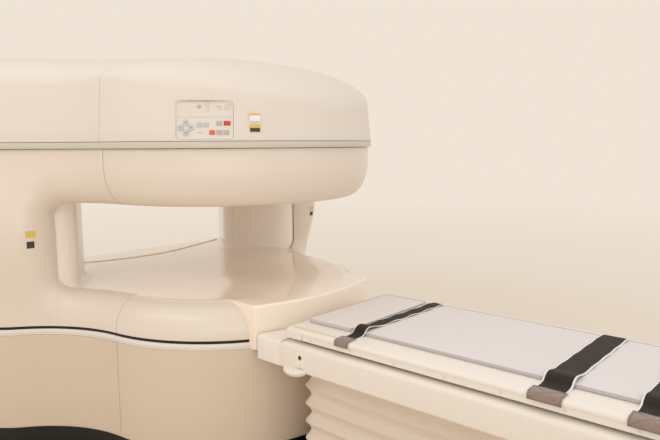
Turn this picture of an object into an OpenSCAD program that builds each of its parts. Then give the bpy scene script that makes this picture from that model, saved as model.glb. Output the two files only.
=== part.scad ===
// Open permanent-magnet MRI scanner: C-shaped gantry with two rear pillars and a docked patient table.
// Millimetres. The origin is on the floor under the magnet's axis, +X points to the table's foot, +Z up.

/* [Gantry plan] */
// Radius of the pole at the belt line
pole_r = 746; // [720:1:760]
// Radius of the concave waist between pole and pillar
waist_r = 661; // [620:1:700]
// Radius of the lobe round a pillar
lobe_r = 381; // [365:1:400]
// How far short of the pole's radius a lobe's centre lies behind the magnet's axis
lobe_back_in = 70; // [60:1:85]
// How far past the pole's radius a lobe's centre lies to the side
lobe_side_out = 21; // [10:1:35]
// How far past the pole's radius the middle of the rear edge lies
rear_out = 74; // [55:1:100]
// Half the width of the nose that faces the table
nose_half_w = 405; // [380:1:430]
// How far short of the pole's radius the nose's front face stays
nose_in = 4; // [2:1:10]
// Radius of the nose's front face
nose_r = 1041; // [950:1:1150]

/* [Gantry heights] */
// Height of the black toe kick
kick_h = 110; // [90:1:130]
// Underside of the silver belt
belt_z = 575; // [560:1:585]
// Height of the silver belt
belt_h = 30; // [22:1:34]
// Height of the black seal over the belt
seal_h = 12; // [8:1:16]
// How far the silver belt stands out
belt_proud = 4; // [2:0.5:6]
// How far the belt, its seal and the skirt's rims reach in
belt_in = 30; // [24:1:36]
// How far the black seal is set back
seal_set = 4; // [3:0.5:6]
// How far the toe kick is set back
kick_in = 50; // [40:1:60]
// Height of the deck, the top of the lower pole
deck_z = 775; // [770:1:800]
// Patient gap between deck and upper pole
gap_h = 430; // [410:1:445]
// Underside of the grey band
band_z = 1463; // [1450:1:1480]
// Height of the grey band
band_h = 30; // [24:1:40]
// Height of the top cover's shoulder at the pillars
crest_side_z = 1773; // [1750:1:1800]
// Height of the top cover's shoulder over the nose
crest_front_z = 1643; // [1620:1:1700]
// Height of the top of the gantry
top_z = 1915; // [1895:1:1950]

/* [Covers] */
// Wall of the moulded covers
cover_t = 8; // [6:1:10]
// How far the covers stand out under the band, past the belt line
upper_out = 24; // [18:1:30]
// How far the grey band stands out past the belt line
band_out = 40; // [34:1:46]
// How much the top covers lean in from the band to the shoulder
crest_in = 20; // [10:1:30]
// Turn of the shoulder of the top covers, in degrees
crest_turn = 6; // [0:1:20]
// How far the pillars bulge at mid height
pillar_bulge = 60; // [30:1:70]
// Depth of the rounding above the gap
upper_round_w = 115; // [100:1:125]
// Height of the rounding above the gap
upper_round_h = 175; // [150:1:190]
// Depth of the rounding under the gap
lower_round_w = 130; // [115:1:140]
// Height of the rounding under the gap
lower_round_h = 150; // [130:1:155]
// How far the rear edge of the side gap lies inside the belt line
end_edge = 74; // [70:1:78]
// Length of the rounding at the pillar end of the gap
end_round_l = 115; // [100:1:125]
// Length of the side gap behind the cover seam
side_gap_l = 368; // [350:1:385]
// Corner radius of the side gap
gap_corner_r = 70; // [50:1:90]
// Length over which the side cover's spokes run on behind the gap's rounding
side_blend_l = 60; // [40:1:80]
// Clearance between the level panels and the side covers
level_gap = 1.2; // [1:0.1:2]
// Turn left free at each end of a turned cover, in degrees
seam_turn = 0.04; // [0.02:0.01:0.1]

/* [Pillars] */
// How far past the pole's radius a pillar's inner face lies from the magnet's axis
face_out = 9; // [0:1:20]
// Direction of the inner face from the axis, in degrees from the table
face_angle = 121.5; // [120:0.5:123]
// How far the inner face is shifted to the rear along itself
face_shift = 65; // [55:1:75]
// Radius of the broad inner face
face_r = 900; // [800:1:1000]
// Radius of the pillar's front corner
front_corner_r = 120; // [110:1:130]
// Direction in which the front corner's round goes out of sight behind the side cover, in degrees
front_turn = 40; // [30:1:50]
// Where the front corner starts along the face
front_corner_s = 130; // [120:1:140]
// Where the seam lies along the face
seam_s = 168; // [160:1:176]
// Radius of the pillar's inner rear corner
rear_corner_r = 80; // [70:1:90]
// Radius of the pillar's outer rear corner
outer_corner_r = 90; // [80:1:100]
// Angle on the lobe where the outer rear corner starts
rear_turn = 170; // [164:1:176]
// Direction in which the flare at a pillar's foot runs out on the front corner, in degrees
flare_end = 10; // [0:1:20]
// Turn over which the flare grows to its full size, in degrees
flare_run = 40; // [30:1:50]
// Radius of the flare at a pillar's foot
flare_r = 30; // [20:1:40]

/* [Magnet] */
// Radius of the yoke discs
yoke_r = 620; // [600:5:640]
// Thickness of the yoke discs
yoke_t = 240; // [200:5:250]
// Width of a yoke arm
arm_w = 400; // [360:10:420]
// Radius of a yoke post
post_r = 215; // [200:5:225]
// How far a post's centre lies before the lobe's centre
post_ahead = 36; // [26:1:46]
// How far a post's centre lies outside the lobe's centre
post_outside = 53; // [43:1:60]
// Rim of the yoke round a post
post_pad = 15; // [10:1:25]
// Radius of the permanent magnets
magnet_r = 600; // [580:5:610]
// Thickness of a permanent magnet
magnet_t = 170; // [150:5:180]
// Height of a pole piece
pole_piece_h = 107; // [95:1:115]
// Radius of a pole piece
pole_piece_r = 590; // [570:5:600]
// Height of the shim ring round a pole piece
shim_h = 40; // [30:1:50]
// Radial width of the shim ring
shim_w = 60; // [50:1:80]
// Radius of a gradient coil
coil_r = 520; // [500:5:525]
// Thickness of a gradient coil
coil_t = 50; // [45:1:60]
// Radius of a levelling foot
foot_r = 60; // [50:1:70]
// Thickness of a levelling foot's pad
foot_pad_h = 30; // [20:1:40]
// Radius of the circle that the front feet stand on
foot_circle_r = 480; // [440:5:520]
// Diameter of the floor anchor holes
anchor_d = 22; // [16:1:26]

/* [Control panel] */
// Direction of the panel from the table, in degrees
panel_angle = 45.7; // [40:0.1:50]
// Height of the panel's middle
panel_z = 1580; // [1575:1:1585]
// Width of the panel
panel_w = 240; // [230:1:250]
// Height of the panel
panel_h = 160; // [152:1:164]
// Corner radius of the panel
panel_corner = 16; // [8:1:24]
// Thickness of the panel
panel_t = 16; // [14:1:20]
// How far the panel lies behind the cover's face at its ends
panel_sink = 3; // [2:0.5:5]
// Height of the rim round the panel
rim_h = 5; // [3:1:6]
// Width of the rim round the panel
rim_w = 4; // [3:1:6]
// Clearance of the panel in its window
panel_gap = 0.5; // [0.3:0.1:0.8]
// Diameter of a round button
pad_d = 26; // [22:1:28]
// Distance of the round buttons from the middle of their cross
pad_pitch = 20.8; // [20:0.2:24]
// Middle of the cross of round buttons, left of the panel's middle
pad_x = -77.6; // [-82:0.2:-74]
// Middle of the cross of round buttons, above the panel's middle
pad_y = -31.4; // [-36:0.2:-28]
// Width of a key
key_w = 22; // [18:1:23]
// Height of a key
key_h = 18; // [15:1:20]
// Distance between the two rows of keys
key_rows = 38; // [32:1:42]
// Height of the keys' lower row
key_y = -51; // [-54:0.5:-46]
// How far a button stands out
button_out = 3; // [2.5:0.5:4]
// Length of a button's body in the panel
button_in = 9; // [8:1:10]
// Clearance of a button in its hole
button_gap = 0.4; // [0.3:0.1:0.6]
// Depth of a button hole
button_hole = 11.5; // [11:0.5:13]

/* [Table] */
// Length of the dock block past the nose's front face
dock_l = 78; // [60:2:100]
// How far the dock block reaches back under the nose's front face
dock_in = 130; // [110:5:150]
// Clearance between the dock block and the gantry
dock_gap = 12; // [8:1:20]
// Length of the table frame behind the dock block
frame_l = 2230; // [2150:10:2300]
// Half width of the table frame
frame_half_w = 410; // [400:1:420]
// Underside of the table frame
frame_z = 540; // [530:1:545]
// Height of the table frame
frame_h = 112; // [105:1:118]
// Width of a side beam
beam_w = 40; // [32:1:48]
// Thickness of the frame's plates
frame_t = 10; // [8:1:12]
// Edge radius of the frame
frame_edge_r = 20; // [12:1:26]
// Corner radius at the foot end
foot_corner_r = 70; // [50:5:100]
// Width of the hatch over the lift
hatch_w = 150; // [120:5:170]
// Seam between the dock block and the frame
seam = 0.6; // [0.4:0.1:0.8]
// Height of the guide rails
rail_h = 12; // [10:1:14]
// Width of a guide rail
rail_w = 40; // [30:1:50]
// Distance of a guide rail from the middle
rail_y = 250; // [220:5:280]
// Running clearance of the tabletop on its rails
rail_gap = 0.3; // [0.2:0.1:0.5]
// Half width of the tabletop
top_half_w = 380; // [372:1:385]
// Thickness of the tabletop
top_t = 44; // [40:1:48]
// Height of the recessed side strip
strip_h = 25; // [20:1:28]
// How far the side strip is set back
strip_in = 5; // [3:1:7]
// Edge radius of the tabletop
top_edge_r = 12; // [8:1:14]
// Length of the head end cap before the side strip
head_cap_l = 95; // [80:1:110]
// Distance between the strip's screw caps
cap_pitch = 209; // [200:1:220]
// Diameter of a screw cap
cap_d = 12; // [10:1:14]
// How far the tabletop slides in towards the gantry
slide_l = 70; // [60:1:70]

/* [Lift] */
// Height of the bellows' foot tray
tray_h = 70; // [60:1:80]
// Thickness of the floor plate
plate_t = 25; // [20:1:30]
// Width of the floor plate's tongue under the dock block
tongue_w = 500; // [400:10:600]
// Start of the bellows behind the dock block
bellows_in = 68; // [60:1:80]
// Length of the bellows
bellows_l = 1520; // [1480:10:1560]
// Half width of the bellows
bellows_half_w = 362; // [355:1:364]
// Number of folds in the bellows
fold_n = 6; // [5:1:7]
// Depth of a bellows fold
fold_d = 16; // [12:1:18]
// Thickness of the bellows cloth
cloth_t = 4; // [3:1:5]
// Lowest position of the table under the one modelled
lift_down = 230; // [200:10:230]
// Highest position of the table over the one modelled
lift_up = 150; // [130:5:160]
// Width of the lift's outer column
column_w = 340; // [300:10:360]
// Depth of the lift's outer column
column_d = 300; // [260:10:320]
// Wall of the lift's columns
column_t = 12; // [8:1:14]
// Running gap between the lift's columns
column_gap = 0.3; // [0.2:0.1:1]
// Length of each column tube
column_l = 262; // [255:1:264]

/* [Padding] */
// Thickness of the main mat
mat_t = 16; // [12:1:20]
// Thickness of the head mat
head_mat_t = 18; // [14:1:22]
// Half width of the mats
mat_half_w = 290; // [270:1:300]
// How far the mats lie to the far side
mat_shift = 25; // [10:1:30]
// Length of the head mat
head_mat_l = 250; // [230:1:270]
// Thickness of a strap
strap_t = 3; // [2:0.5:4]
// Width of the head strap
head_strap_w = 60; // [50:1:70]
// Width of the body straps
body_strap_w = 100; // [80:1:110]
// Distance of the middle strap behind the dock block
body_strap_in = 1080; // [1000:10:1150]
// Distance of the foot strap behind the middle strap
foot_strap_in = 295; // [250:5:400]
// Free space between soft pieces and their neighbours
soft_gap = 0.4; // [0.3:0.1:0.6]

/* [Socket] */
// Distance of the coil socket behind the dock block
socket_in = 120; // [110:1:130]
// Height of the coil socket
socket_z = 605; // [600:1:610]
// Bore of the coil socket
socket_bore = 12; // [8:1:14]
// Clearance of the barrel in the beam
socket_gap = 0.3; // [0.2:0.1:0.5]
// Diameter of the brass barrel
socket_d = 20; // [18:1:24]
// Width of the keyhole plate
plate_w = 50; // [44:1:56]
// Radius of the half-round cable rest
rest_r = 60; // [50:1:70]
// Thickness of the cable rest
rest_t = 34; // [26:1:36]

/* [Hidden] */

$fn = 64;
ivory = [0.93, 0.9, 0.84];
satin = [0.86, 0.85, 0.82];
steel = [0.5, 0.52, 0.55];
copper = [0.72, 0.45, 0.25];
white = [0.95, 0.95, 0.93];

// Circles of the plan: pole, waist, lobe and rear, each tangent to the next
lobe_c = [lobe_back_in - pole_r, pole_r + lobe_side_out];
rear_back = pole_r + rear_out;
nose_front = pole_r - nose_in;
dock_end = nose_front + dock_l;
lobe_dist = norm(lobe_c);
pole_to_waist = pole_r + waist_r;
lobe_to_waist = lobe_r + waist_r;
waist_turn = acos((pow(pole_to_waist, 2) + pow(lobe_dist, 2) - pow(lobe_to_waist, 2))
    / (2 * pole_to_waist * lobe_dist));
waist_a = atan2(lobe_c.y, lobe_c.x) - waist_turn;
waist_c = pole_to_waist * unit(waist_a);
waist_from = waist_a + 180;
waist_to = 360 + atan2(lobe_c.y - waist_c.y, lobe_c.x - waist_c.x);
rear_in = -lobe_c.x - rear_back;
rear_r = (pow(rear_in, 2) + pow(lobe_c.y, 2) - pow(lobe_r, 2)) / (2 * (lobe_r + rear_in));
rear_c = [-rear_back - rear_r, 0];
lobe_from = waist_to - 180;
lobe_to = 360 + atan2(rear_c.y - lobe_c.y, rear_c.x - lobe_c.x);
waist_l = waist_r * (waist_from - waist_to) * PI / 180;
lobe_l = lobe_r * (lobe_to - lobe_from) * PI / 180;
rear_s = 2 + (rear_turn - lobe_from) / (lobe_to - lobe_from);
side_l = waist_l + (rear_s - 2) * lobe_l;
nose_c = [nose_front - nose_r, 0];
upper_edge = upper_round_w - upper_out;

// Heights worked out from the driving ones
gap_top = deck_z + gap_h;
seal_z = belt_z + belt_h;
cover_z = seal_z + seal_h;
band_top = band_z + band_h;

// Inner pillar face
face_n = unit(face_angle - 180);
face_d = [face_n.y, -face_n.x];
face_p = -(pole_r + face_out) * face_n + face_shift * face_d;
face_c = face_p - face_r * face_n;
face_a = face_angle - 180;
front_a = face_a + front_corner_s / face_r * 180 / PI;
seam_a = face_a - seam_s / face_r * 180 / PI;
corner_a = seam_a - 2.2;
front_c = face_c + (face_r - front_corner_r) * unit(front_a);
rear_corner_c = face_c + (face_r - rear_corner_r) * unit(corner_a);
outer_corner_c = lobe_c + (lobe_r - outer_corner_r) * unit(rear_turn);
corner_gap = outer_corner_c - rear_corner_c;
corner_turn = atan2(corner_gap.y, corner_gap.x)
    + acos((rear_corner_r - outer_corner_r) / norm(corner_gap)) - 360;

// Rows and columns of the moulded surfaces
wall_rows = 3;
round_rows = 6;
gap_cols = 5;
corner_cols = 8;
end_cols = 4;
back_cols = 18;
dome_rows = 8;

function unit(a) = [cos(a), sin(a)];
function lerp(a, b, t) = a + (b - a) * t;
function steps(n) = [for (i = [0:n]) i / n];
function reverse(v) = [for (i = [len(v) - 1:-1:0]) v[i]];
function ease(t) = let (u = min(max(t, 0), 1)) u * u * (3 - 2 * u);

// A point of the plan and its outward normal, for s = 0 at the nose to 4 at the rear; below 0 on the left
function plan(s) = s < 0 ? let (p = plan(-s)) [[p[0].x, -p[0].y], [p[1].x, -p[1].y]]
    : s < 1 ? let (n = unit(s * waist_a)) [pole_r * n, n]
    : s < 2 ? let (n = unit(lerp(waist_from, waist_to, s - 1))) [waist_c + waist_r * n, -n]
    : s < 3 ? let (n = unit(lerp(lobe_from, lobe_to, s - 2))) [lobe_c + lobe_r * n, n]
    : let (n = unit(lerp(lobe_to - 180, 0, s - 3))) [rear_c + rear_r * n, -n];
function plan_at(s, d) = let (p = plan(s)) p[0] + d * p[1];
function at(s, d, z) = let (p = plan_at(s, d)) [p.x, p.y, z];
function s_of(q) = q < waist_l ? 1 + q / waist_l : 2 + (q - waist_l) / lobe_l;

// Stations of the plan from the nose, with more of them on the tight lobe
plan_stations = [for (i = [0:13]) i / 14, for (i = [0:8]) 1 + i / 9, for (i = [0:17]) 2 + i / 18,
    for (i = [0:6]) 3 + i / 6];
function stations(from, to) = concat([from], [for (s = concat(reverse(-plan_stations), plan_stations))
    if (s > from + 0.01 && s < to - 0.01 && (s != 0 || from >= 0 || to <= 0)) s], [to]);
function outline(d) = concat([for (s = plan_stations) plan_at(s, d)],
    [for (i = [len(plan_stations) - 2:-1:1]) plan_at(-plan_stations[i], d)]);

// How far the cover walls stand out at a station and height
function wall_out(s, z) = let (b = sin(180 * (z - cover_z) / (band_z - cover_z)))
    upper_out * ease((z - deck_z) / gap_h) + pillar_bulge * ease(s - 1) * ease((rear_s - s) * 3) * b * b;

// A closed shell: two surfaces with the same triangles, and a wall between them along each loop of edges
module shell(outer, inner, tris, loops) polyhedron(concat(outer, inner), concat(tris,
    [for (t = tris) [t[0], t[2], t[1]] + len(outer) * [1, 1, 1]],
    [for (l = loops, k = [0:len(l) - 1]) let (a = l[k], b = l[(k + 1) % len(l)], n = len(outer)) each
        [[a, n + b, b], [a, n + a, n + b]]]), convexity = 8);
// Triangles of a grid of point numbers; unused cells and triangles with a repeated corner are left out
function tris_of(g) = [for (i = [0:len(g) - 2], j = [0:len(g[0]) - 2])
    let (c = [g[i][j], g[i][j + 1], g[i + 1][j + 1], g[i + 1][j]]) if (len([for (k = c) if (k == undef) k]) == 0)
    each [for (t = [[c[0], c[1], c[2]], [c[0], c[2], c[3]]]) if (t[0] != t[1] && t[1] != t[2] && t[2] != t[0]) t]];
function numbers(rows, cols) = [for (i = [0:rows - 1]) [for (j = [0:cols - 1]) i * cols + j]];
function flat(rows) = [for (r = rows) each r];
// Edge of a grid: its first row, last column, last row unless that is folded, and first column
function edge_of(g, folded = false) = let (m = len(g) - 1, n = len(g[0]) - 1) concat(g[0],
    [for (i = [1:m]) g[i][n]], folded ? [] : [for (j = [n - 1:-1:0]) g[m][j]], [for (i = [m - 1:-1:1]) g[i][0]]);
module skin(outer, inner) let (g = numbers(len(outer), len(outer[0])))
    shell(flat(outer), flat(inner), tris_of(g), [edge_of(g)]);

module left_side() mirror([0, 1, 0]) children();

// A wall that follows the plan between two offsets
module plan_ring(out, in, z, h) translate([0, 0, z]) linear_extrude(h) difference() {
    polygon(outline(out));
    polygon(outline(in));
}

// A wall that follows part of the plan, open at both ends
module plan_wall(from, to, out, in, z, h) translate([0, 0, z]) linear_extrude(h)
    polygon(concat([for (s = stations(from, to)) plan_at(s, out)],
        [for (s = reverse(stations(from, to))) plan_at(s, in)]));

// Spokes of the side cover: from the gap's edge, over the rounding, to the band, the belt or the pillar.
// Each holds three points, measured along the plan and upwards, and how far its edge lies inside the belt line.
gap_straight = side_gap_l - gap_corner_r;
split_l = side_gap_l + end_round_l + side_blend_l;
function corner_spoke(f, turn, side, round_h, edge, outer_end) = let (u = unit(turn))
    [[gap_straight, side] + gap_corner_r * u,
     [gap_straight, side] + [(gap_corner_r + end_round_l) * u.x, (gap_corner_r + round_h) * u.y],
     outer_end, lerp(edge, end_edge, sin(90 * f))];
upper_corner_z = gap_top - gap_corner_r;
lower_corner_z = deck_z + gap_corner_r;
spokes = concat(
    [for (t = steps(gap_cols)) [[t * gap_straight, gap_top], [t * gap_straight, gap_top + upper_round_h],
        [t * gap_straight, band_z], upper_edge]],
    [for (i = [1:corner_cols]) let (f = i / corner_cols) corner_spoke(f, 90 - 90 * f, upper_corner_z,
        upper_round_h, upper_edge, f <= 0.5 ? [lerp(gap_straight, split_l, 2 * f), band_z]
            : [split_l, lerp(band_z, upper_corner_z, 2 * f - 1)])],
    [for (i = [1:end_cols]) let (z = lerp(upper_corner_z, lower_corner_z, i / end_cols))
        [[side_gap_l, z], [side_gap_l + end_round_l, z], [split_l, z], end_edge]],
    [for (i = [1:corner_cols]) let (f = 1 - i / corner_cols) corner_spoke(f, 90 * f - 90, lower_corner_z,
        lower_round_h, lower_round_w, f >= 0.5 ? [split_l, lerp(cover_z, lower_corner_z, 2 * f - 1)]
            : [lerp(gap_straight, split_l, 2 * f), cover_z])],
    [for (t = steps(gap_cols)) if (t > 0) [[(1 - t) * gap_straight, deck_z],
        [(1 - t) * gap_straight, deck_z - lower_round_h], [(1 - t) * gap_straight, cover_z],
        lower_round_w]]);
first_back = gap_cols + corner_cols / 2;
last_back = gap_cols + corner_cols + end_cols + corner_cols / 2;

function on_cover(q, sink) = let (s = s_of(q.x)) at(s, wall_out(s, q.y) - sink, q.y);
function spoke_point(r, k, t) = let (a = 90 * min(k / round_rows, 1), run = (r[1] - r[0]) / norm(r[1] - r[0]),
    depth = r[3] + wall_out(s_of(r[0].x), r[0].y))
    k <= round_rows ? on_cover(lerp(r[0], r[1], 1 - cos(a)) + t * cos(a) * run, depth * (1 - sin(a)) + t * sin(a))
    : on_cover(lerp(r[1], r[2], (k - round_rows) / wall_rows), t);
function cover_points(t) = concat(
    [for (k = [0:round_rows + wall_rows], r = spokes) spoke_point(r, k, t)],
    [for (k = [1:back_cols], j = [first_back:last_back])
        on_cover([lerp(split_l, side_l, k / back_cols), spokes[j][2].y], t)]);
side_rows = round_rows + wall_rows;
side_n = len(spokes);
side_numbers = concat(numbers(side_rows + 1, side_n),
    [for (k = [0:back_cols - 1]) [for (j = [0:side_n - 1]) j < first_back || j > last_back ? undef
        : (side_rows + 1) * side_n + k * (last_back - first_back + 1) + j - first_back]]);
side_edge = let (g = side_numbers, m = side_rows, e = m + back_cols, n = side_n - 1) concat(g[0],
    [for (i = [1:m]) g[i][n]], [for (j = [n - 1:-1:last_back]) g[m][j]],
    [for (i = [m + 1:e]) g[i][last_back]], [for (j = [last_back - 1:-1:first_back]) g[e][j]],
    [for (i = [e - 1:-1:m]) g[i][first_back]], [for (j = [first_back - 1:-1:0]) g[m][j]],
    [for (i = [m - 1:-1:1]) g[i][0]]);

module side_cover() color(ivory)
    shell(cover_points(0), cover_points(cover_t), tris_of(side_numbers), [side_edge]);
module side_cover_left() left_side() side_cover();
module side_cover_right() side_cover();

// Pillar covers: a vertical wall with a flare at its foot
function arc(c, r, from, to, n) = [for (t = steps(n)) let (u = unit(lerp(from, to, t))) [c + r * u, u]];
function inner_path() = concat(arc(front_c, front_corner_r, front_turn, front_a, 9),
    [for (p = arc(face_c, face_r, front_a, seam_a, 7)) if (norm(p[0] - front_c) > front_corner_r + 0.01) p]);
function rear_path() = concat([[face_c + face_r * unit(seam_a), unit(seam_a)]],
    arc(rear_corner_c, rear_corner_r, corner_a, corner_turn, 4),
    arc(outer_corner_c, outer_corner_r, corner_turn, rear_turn - 360, 5));
flare_rows = [for (a = [0:22.5:90]) [deck_z + flare_r * (1 - cos(a)), flare_r * (1 - sin(a))]];
function flare_of(u) = ease((flare_end - atan2(u.y, u.x)) / flare_run);
function pillar_grid(path, t) = [for (r = concat(flare_rows, [[gap_top, 0]]))
    [for (p = path) let (q = p[0] + (t > 0 ? -t : r[1] * flare_of(p[1])) * p[1]) [q.x, q.y, r[0]]]];

module pillar_cover() color(ivory) skin(pillar_grid(inner_path(), 0), pillar_grid(inner_path(), cover_t));
module pillar_cover_left() left_side() pillar_cover();
module pillar_cover_right() pillar_cover();
module pillar_rear() color(ivory) skin(pillar_grid(rear_path(), 0), pillar_grid(rear_path(), cover_t));
module pillar_rear_left() left_side() pillar_rear();
module pillar_rear_right() pillar_rear();

// Lower cover beside the nose: a turned bead from the belt up to the deck
function bead(t, n) = [for (k = [0:n]) let (a = 90 * k / n)
    [pole_r - lower_round_w + (lower_round_w - t) * cos(a), deck_z - lower_round_h + (lower_round_h - t) * sin(a)]];
module lower_cover() color(ivory) difference() {
    rotate_extrude(angle = waist_a - seam_turn, $fn = 240) polygon(concat([[pole_r, cover_z]], bead(0, 8), reverse(bead(cover_t, 8)),
        [[pole_r - cover_t, cover_z]]));
    translate([0, -1, 0]) cube([pole_r * 2, nose_half_w + 1, deck_z * 2]);
}
module lower_cover_left() left_side() lower_cover();
module lower_cover_right() lower_cover();

// Outline of the deck and of the panel over the gap: inside the roundings and round the pillars
function pillar_edge() = let (path = concat(inner_path(), rear_path()))
    [for (i = [0:len(path) - 3]) path[i][0] - path[i][1] * cover_t / 2];
module level_panel(edge, lap, rear_out) linear_extrude(cover_t) for (side = [0, 1]) mirror([0, side, 0])
    polygon(concat([[0, 0]], [for (t = steps(12)) (pole_r - edge - lap) * unit(t * waist_a)],
        [for (t = steps(gap_cols)) plan_at(s_of(t * gap_straight), -edge - level_gap)],
        [plan_at(s_of(side_gap_l), -end_edge - 1.5 * cover_t), front_c + (front_corner_r + 2 * cover_t) * unit(front_turn)],
        pillar_edge(), [for (s = stations(rear_s, 4)) plan_at(s, rear_out)]));

// Deck with the nose that faces the table
module nose_plan(in) intersection() {
    translate(nose_c) circle(nose_r - in, $fn = 180);
    translate([0, in - nose_half_w]) square([nose_front * 2, 2 * (nose_half_w - in)]);
}
module deck_panel() color(ivory) union() {
    translate([0, 0, deck_z - cover_t]) level_panel(lower_round_w, 0, -cover_t);
    translate([0, 0, belt_z]) linear_extrude(deck_z - belt_z) difference() {
        nose_plan(0);
        nose_plan(cover_t);
        circle(pole_r - lower_round_w, $fn = 180);
    }
    translate([0, 0, deck_z - cover_t]) linear_extrude(cover_t) nose_plan(0);
}

// Upper pole cover: a turned bowl rim with the flat panel over the gap
function bowl_side(t, n) = [for (k = [0:n]) let (a = 90 * k / n)
    [pole_r + upper_out - upper_round_w + (upper_round_w - t) * sin(a),
     gap_top + upper_round_h - (upper_round_h - t) * cos(a)]];
module bowl_cover() color(ivory) union() {
    rotate([0, 0, seam_turn - waist_a]) rotate_extrude(angle = 2 * (waist_a - seam_turn), $fn = 240)
        polygon(concat([[pole_r + upper_out - upper_round_w - cover_t, gap_top]], bowl_side(0, 9),
            [[pole_r + upper_out, band_z], [pole_r + upper_out - cover_t, band_z]],
            reverse(bowl_side(cover_t, 9)), [[pole_r + upper_out - upper_round_w - cover_t, gap_top + cover_t]]));
    translate([0, 0, gap_top]) level_panel(upper_edge, cover_t / 2, upper_out - cover_t);
}

// Rear covers between the pillars
module rear_cover_lower() color(ivory)
    for (side = [0, 1]) mirror([0, side, 0]) plan_wall(rear_s, 4, 0, -cover_t, cover_z, deck_z - cover_z);
module rear_cover_upper() color(ivory)
    for (side = [0, 1]) mirror([0, side, 0]) plan_wall(rear_s, 4, upper_out, upper_out - cover_t, gap_top, band_z - gap_top);

// Skirt, belt and toe kick
module skirt(from, to) color(ivory) difference() {
    plan_wall(from, to, 0, -belt_in, kick_h, belt_z - kick_h);
    plan_wall(from - 0.05, to + 0.05, -cover_t, -belt_in - 1, kick_h + cover_t, belt_z - kick_h - 2 * cover_t);
}
module skirt_front() color(ivory) rotate([0, 0, seam_turn - waist_a])
    rotate_extrude(angle = 2 * (waist_a - seam_turn), $fn = 240) difference() {
    translate([pole_r - belt_in, kick_h]) square([belt_in, belt_z - kick_h]);
    translate([pole_r - belt_in - 1, kick_h + cover_t])
        square([belt_in + 1 - cover_t, belt_z - kick_h - 2 * cover_t]);
}
module skirt_left() left_side() skirt(1, 4);
module skirt_right() skirt(1, 4);
module toe_kick() color([0.06, 0.06, 0.07]) union() {
    plan_ring(-kick_in, -kick_in - 12, 0, kick_h);
    plan_ring(-12, -kick_in - 12, kick_h - cover_t, cover_t);
}
module belt_part(out, z, h) for (side = [0, 1]) mirror([0, side, 0]) translate([0, 0, z]) linear_extrude(h)
    difference() {
        polygon(concat([for (s = stations(0.1, 4)) plan_at(s, out)],
            [for (s = reverse(stations(0.1, 4))) plan_at(s, -belt_in)]));
        square([pole_r * 2, nose_half_w]);
    }
module belt_trim() color([0.8, 0.81, 0.83]) union() {
    belt_part(belt_proud, belt_z + belt_h / 3, belt_h * 2 / 3);
    belt_part(0, belt_z, belt_h / 3);
}
module belt_seal() color([0.05, 0.05, 0.05]) belt_part(-seal_set, seal_z, seal_h);
module grey_band() color([0.66, 0.68, 0.7]) plan_ring(band_out, 0, band_z, band_h);

// Top covers: a leaning wall, a shoulder, and a dome up to the ridge over the yoke
function crest_z(s) = let (a = sin(90 * min(abs(s), 1))) lerp(crest_front_z, crest_side_z, a * a);
function ridge(s) = s < 1 ? [0, 0] : s < 2 ? lobe_c * (s - 1) : s < 3 ? lobe_c : lobe_c * (4 - s);
function dome(s, v, t) = let (c = crest_z(s), e = plan_at(s, band_out - crest_in - t), m = ridge(abs(s)),
    a = lerp(crest_turn, 90, v), p = lerp(e, [m.x, s < 0 ? -m.y : m.y], 1 - cos(a) / cos(crest_turn)))
    [p.x, p.y, c + (top_z - t - c) * (sin(a) - sin(crest_turn)) / (1 - sin(crest_turn))];
function top_points(ss, t) = concat(
    [for (f = [0, 0.5], s = ss) at(s, band_out - t - crest_in * f, lerp(band_top, crest_z(s), f))],
    [for (v = steps(dome_rows), s = ss) dome(s, v, t)]);
// The last row of a top cover is folded on itself along the ridge, so that both slopes share its points
module top_cover(ss, fold) color(satin) let (g = numbers(dome_rows + 3, len(ss)), m = dome_rows + 2,
    h = [for (i = [0:m]) i < m ? g[i] : [for (j = [0:len(ss) - 1]) g[m][fold[j]]]])
    shell(top_points(ss, 0), top_points(ss, cover_t), tris_of(h), [edge_of(h, true)]);
arm_steps = 8;
lobe_steps = 16;
arm_stations = concat([for (i = [0:arm_steps]) 1 + i / arm_steps], [for (i = [1:lobe_steps]) 2 + i / lobe_steps],
    [for (i = [1:arm_steps]) 3 + i / arm_steps]);
arm_fold = [for (j = [0:len(arm_stations) - 1]) j <= arm_steps ? j
    : j <= arm_steps + lobe_steps ? arm_steps : len(arm_stations) - 1 - j];
front_stations = [for (i = [-12:12]) i / 12];
front_fold = [for (s = front_stations) 0];
module window(grow) translate([0, 0, -60]) linear_extrude(120) rounded(panel_w + 2 * grow, panel_h + 2 * grow,
    panel_corner + grow);
module top_cover_front() color(satin) difference() {
    top_cover(front_stations, front_fold);
    on_panel() window(panel_gap);
}
module top_cover_left() left_side() top_cover(arm_stations, arm_fold);
module top_cover_right() top_cover(arm_stations, arm_fold);

// Control panel: its middle, with X to the viewer's right, Y up along the panel and Z out of it
panel_tilt = atan(crest_in / (crest_side_z - band_top));
panel_out = (pole_r + band_out - crest_in / 3) * cos(asin(panel_w / 2 / pole_r)) - panel_sink;
module on_panel() rotate([0, 0, -panel_angle]) translate([panel_out, 0, panel_z]) rotate([0, -panel_tilt, 0])
    rotate([90, 0, 90]) children();
module rounded(w, h, r) union() {
    square([w - 2 * r, h], center = true);
    square([w, h - 2 * r], center = true);
    for (x = [-1, 1], y = [-1, 1]) translate([x * (w / 2 - r), y * (h / 2 - r)]) circle(r, $fn = 32);
}
pad_at = [[0, 1], [0, -1], [-1, 0], [1, 0]];
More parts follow.
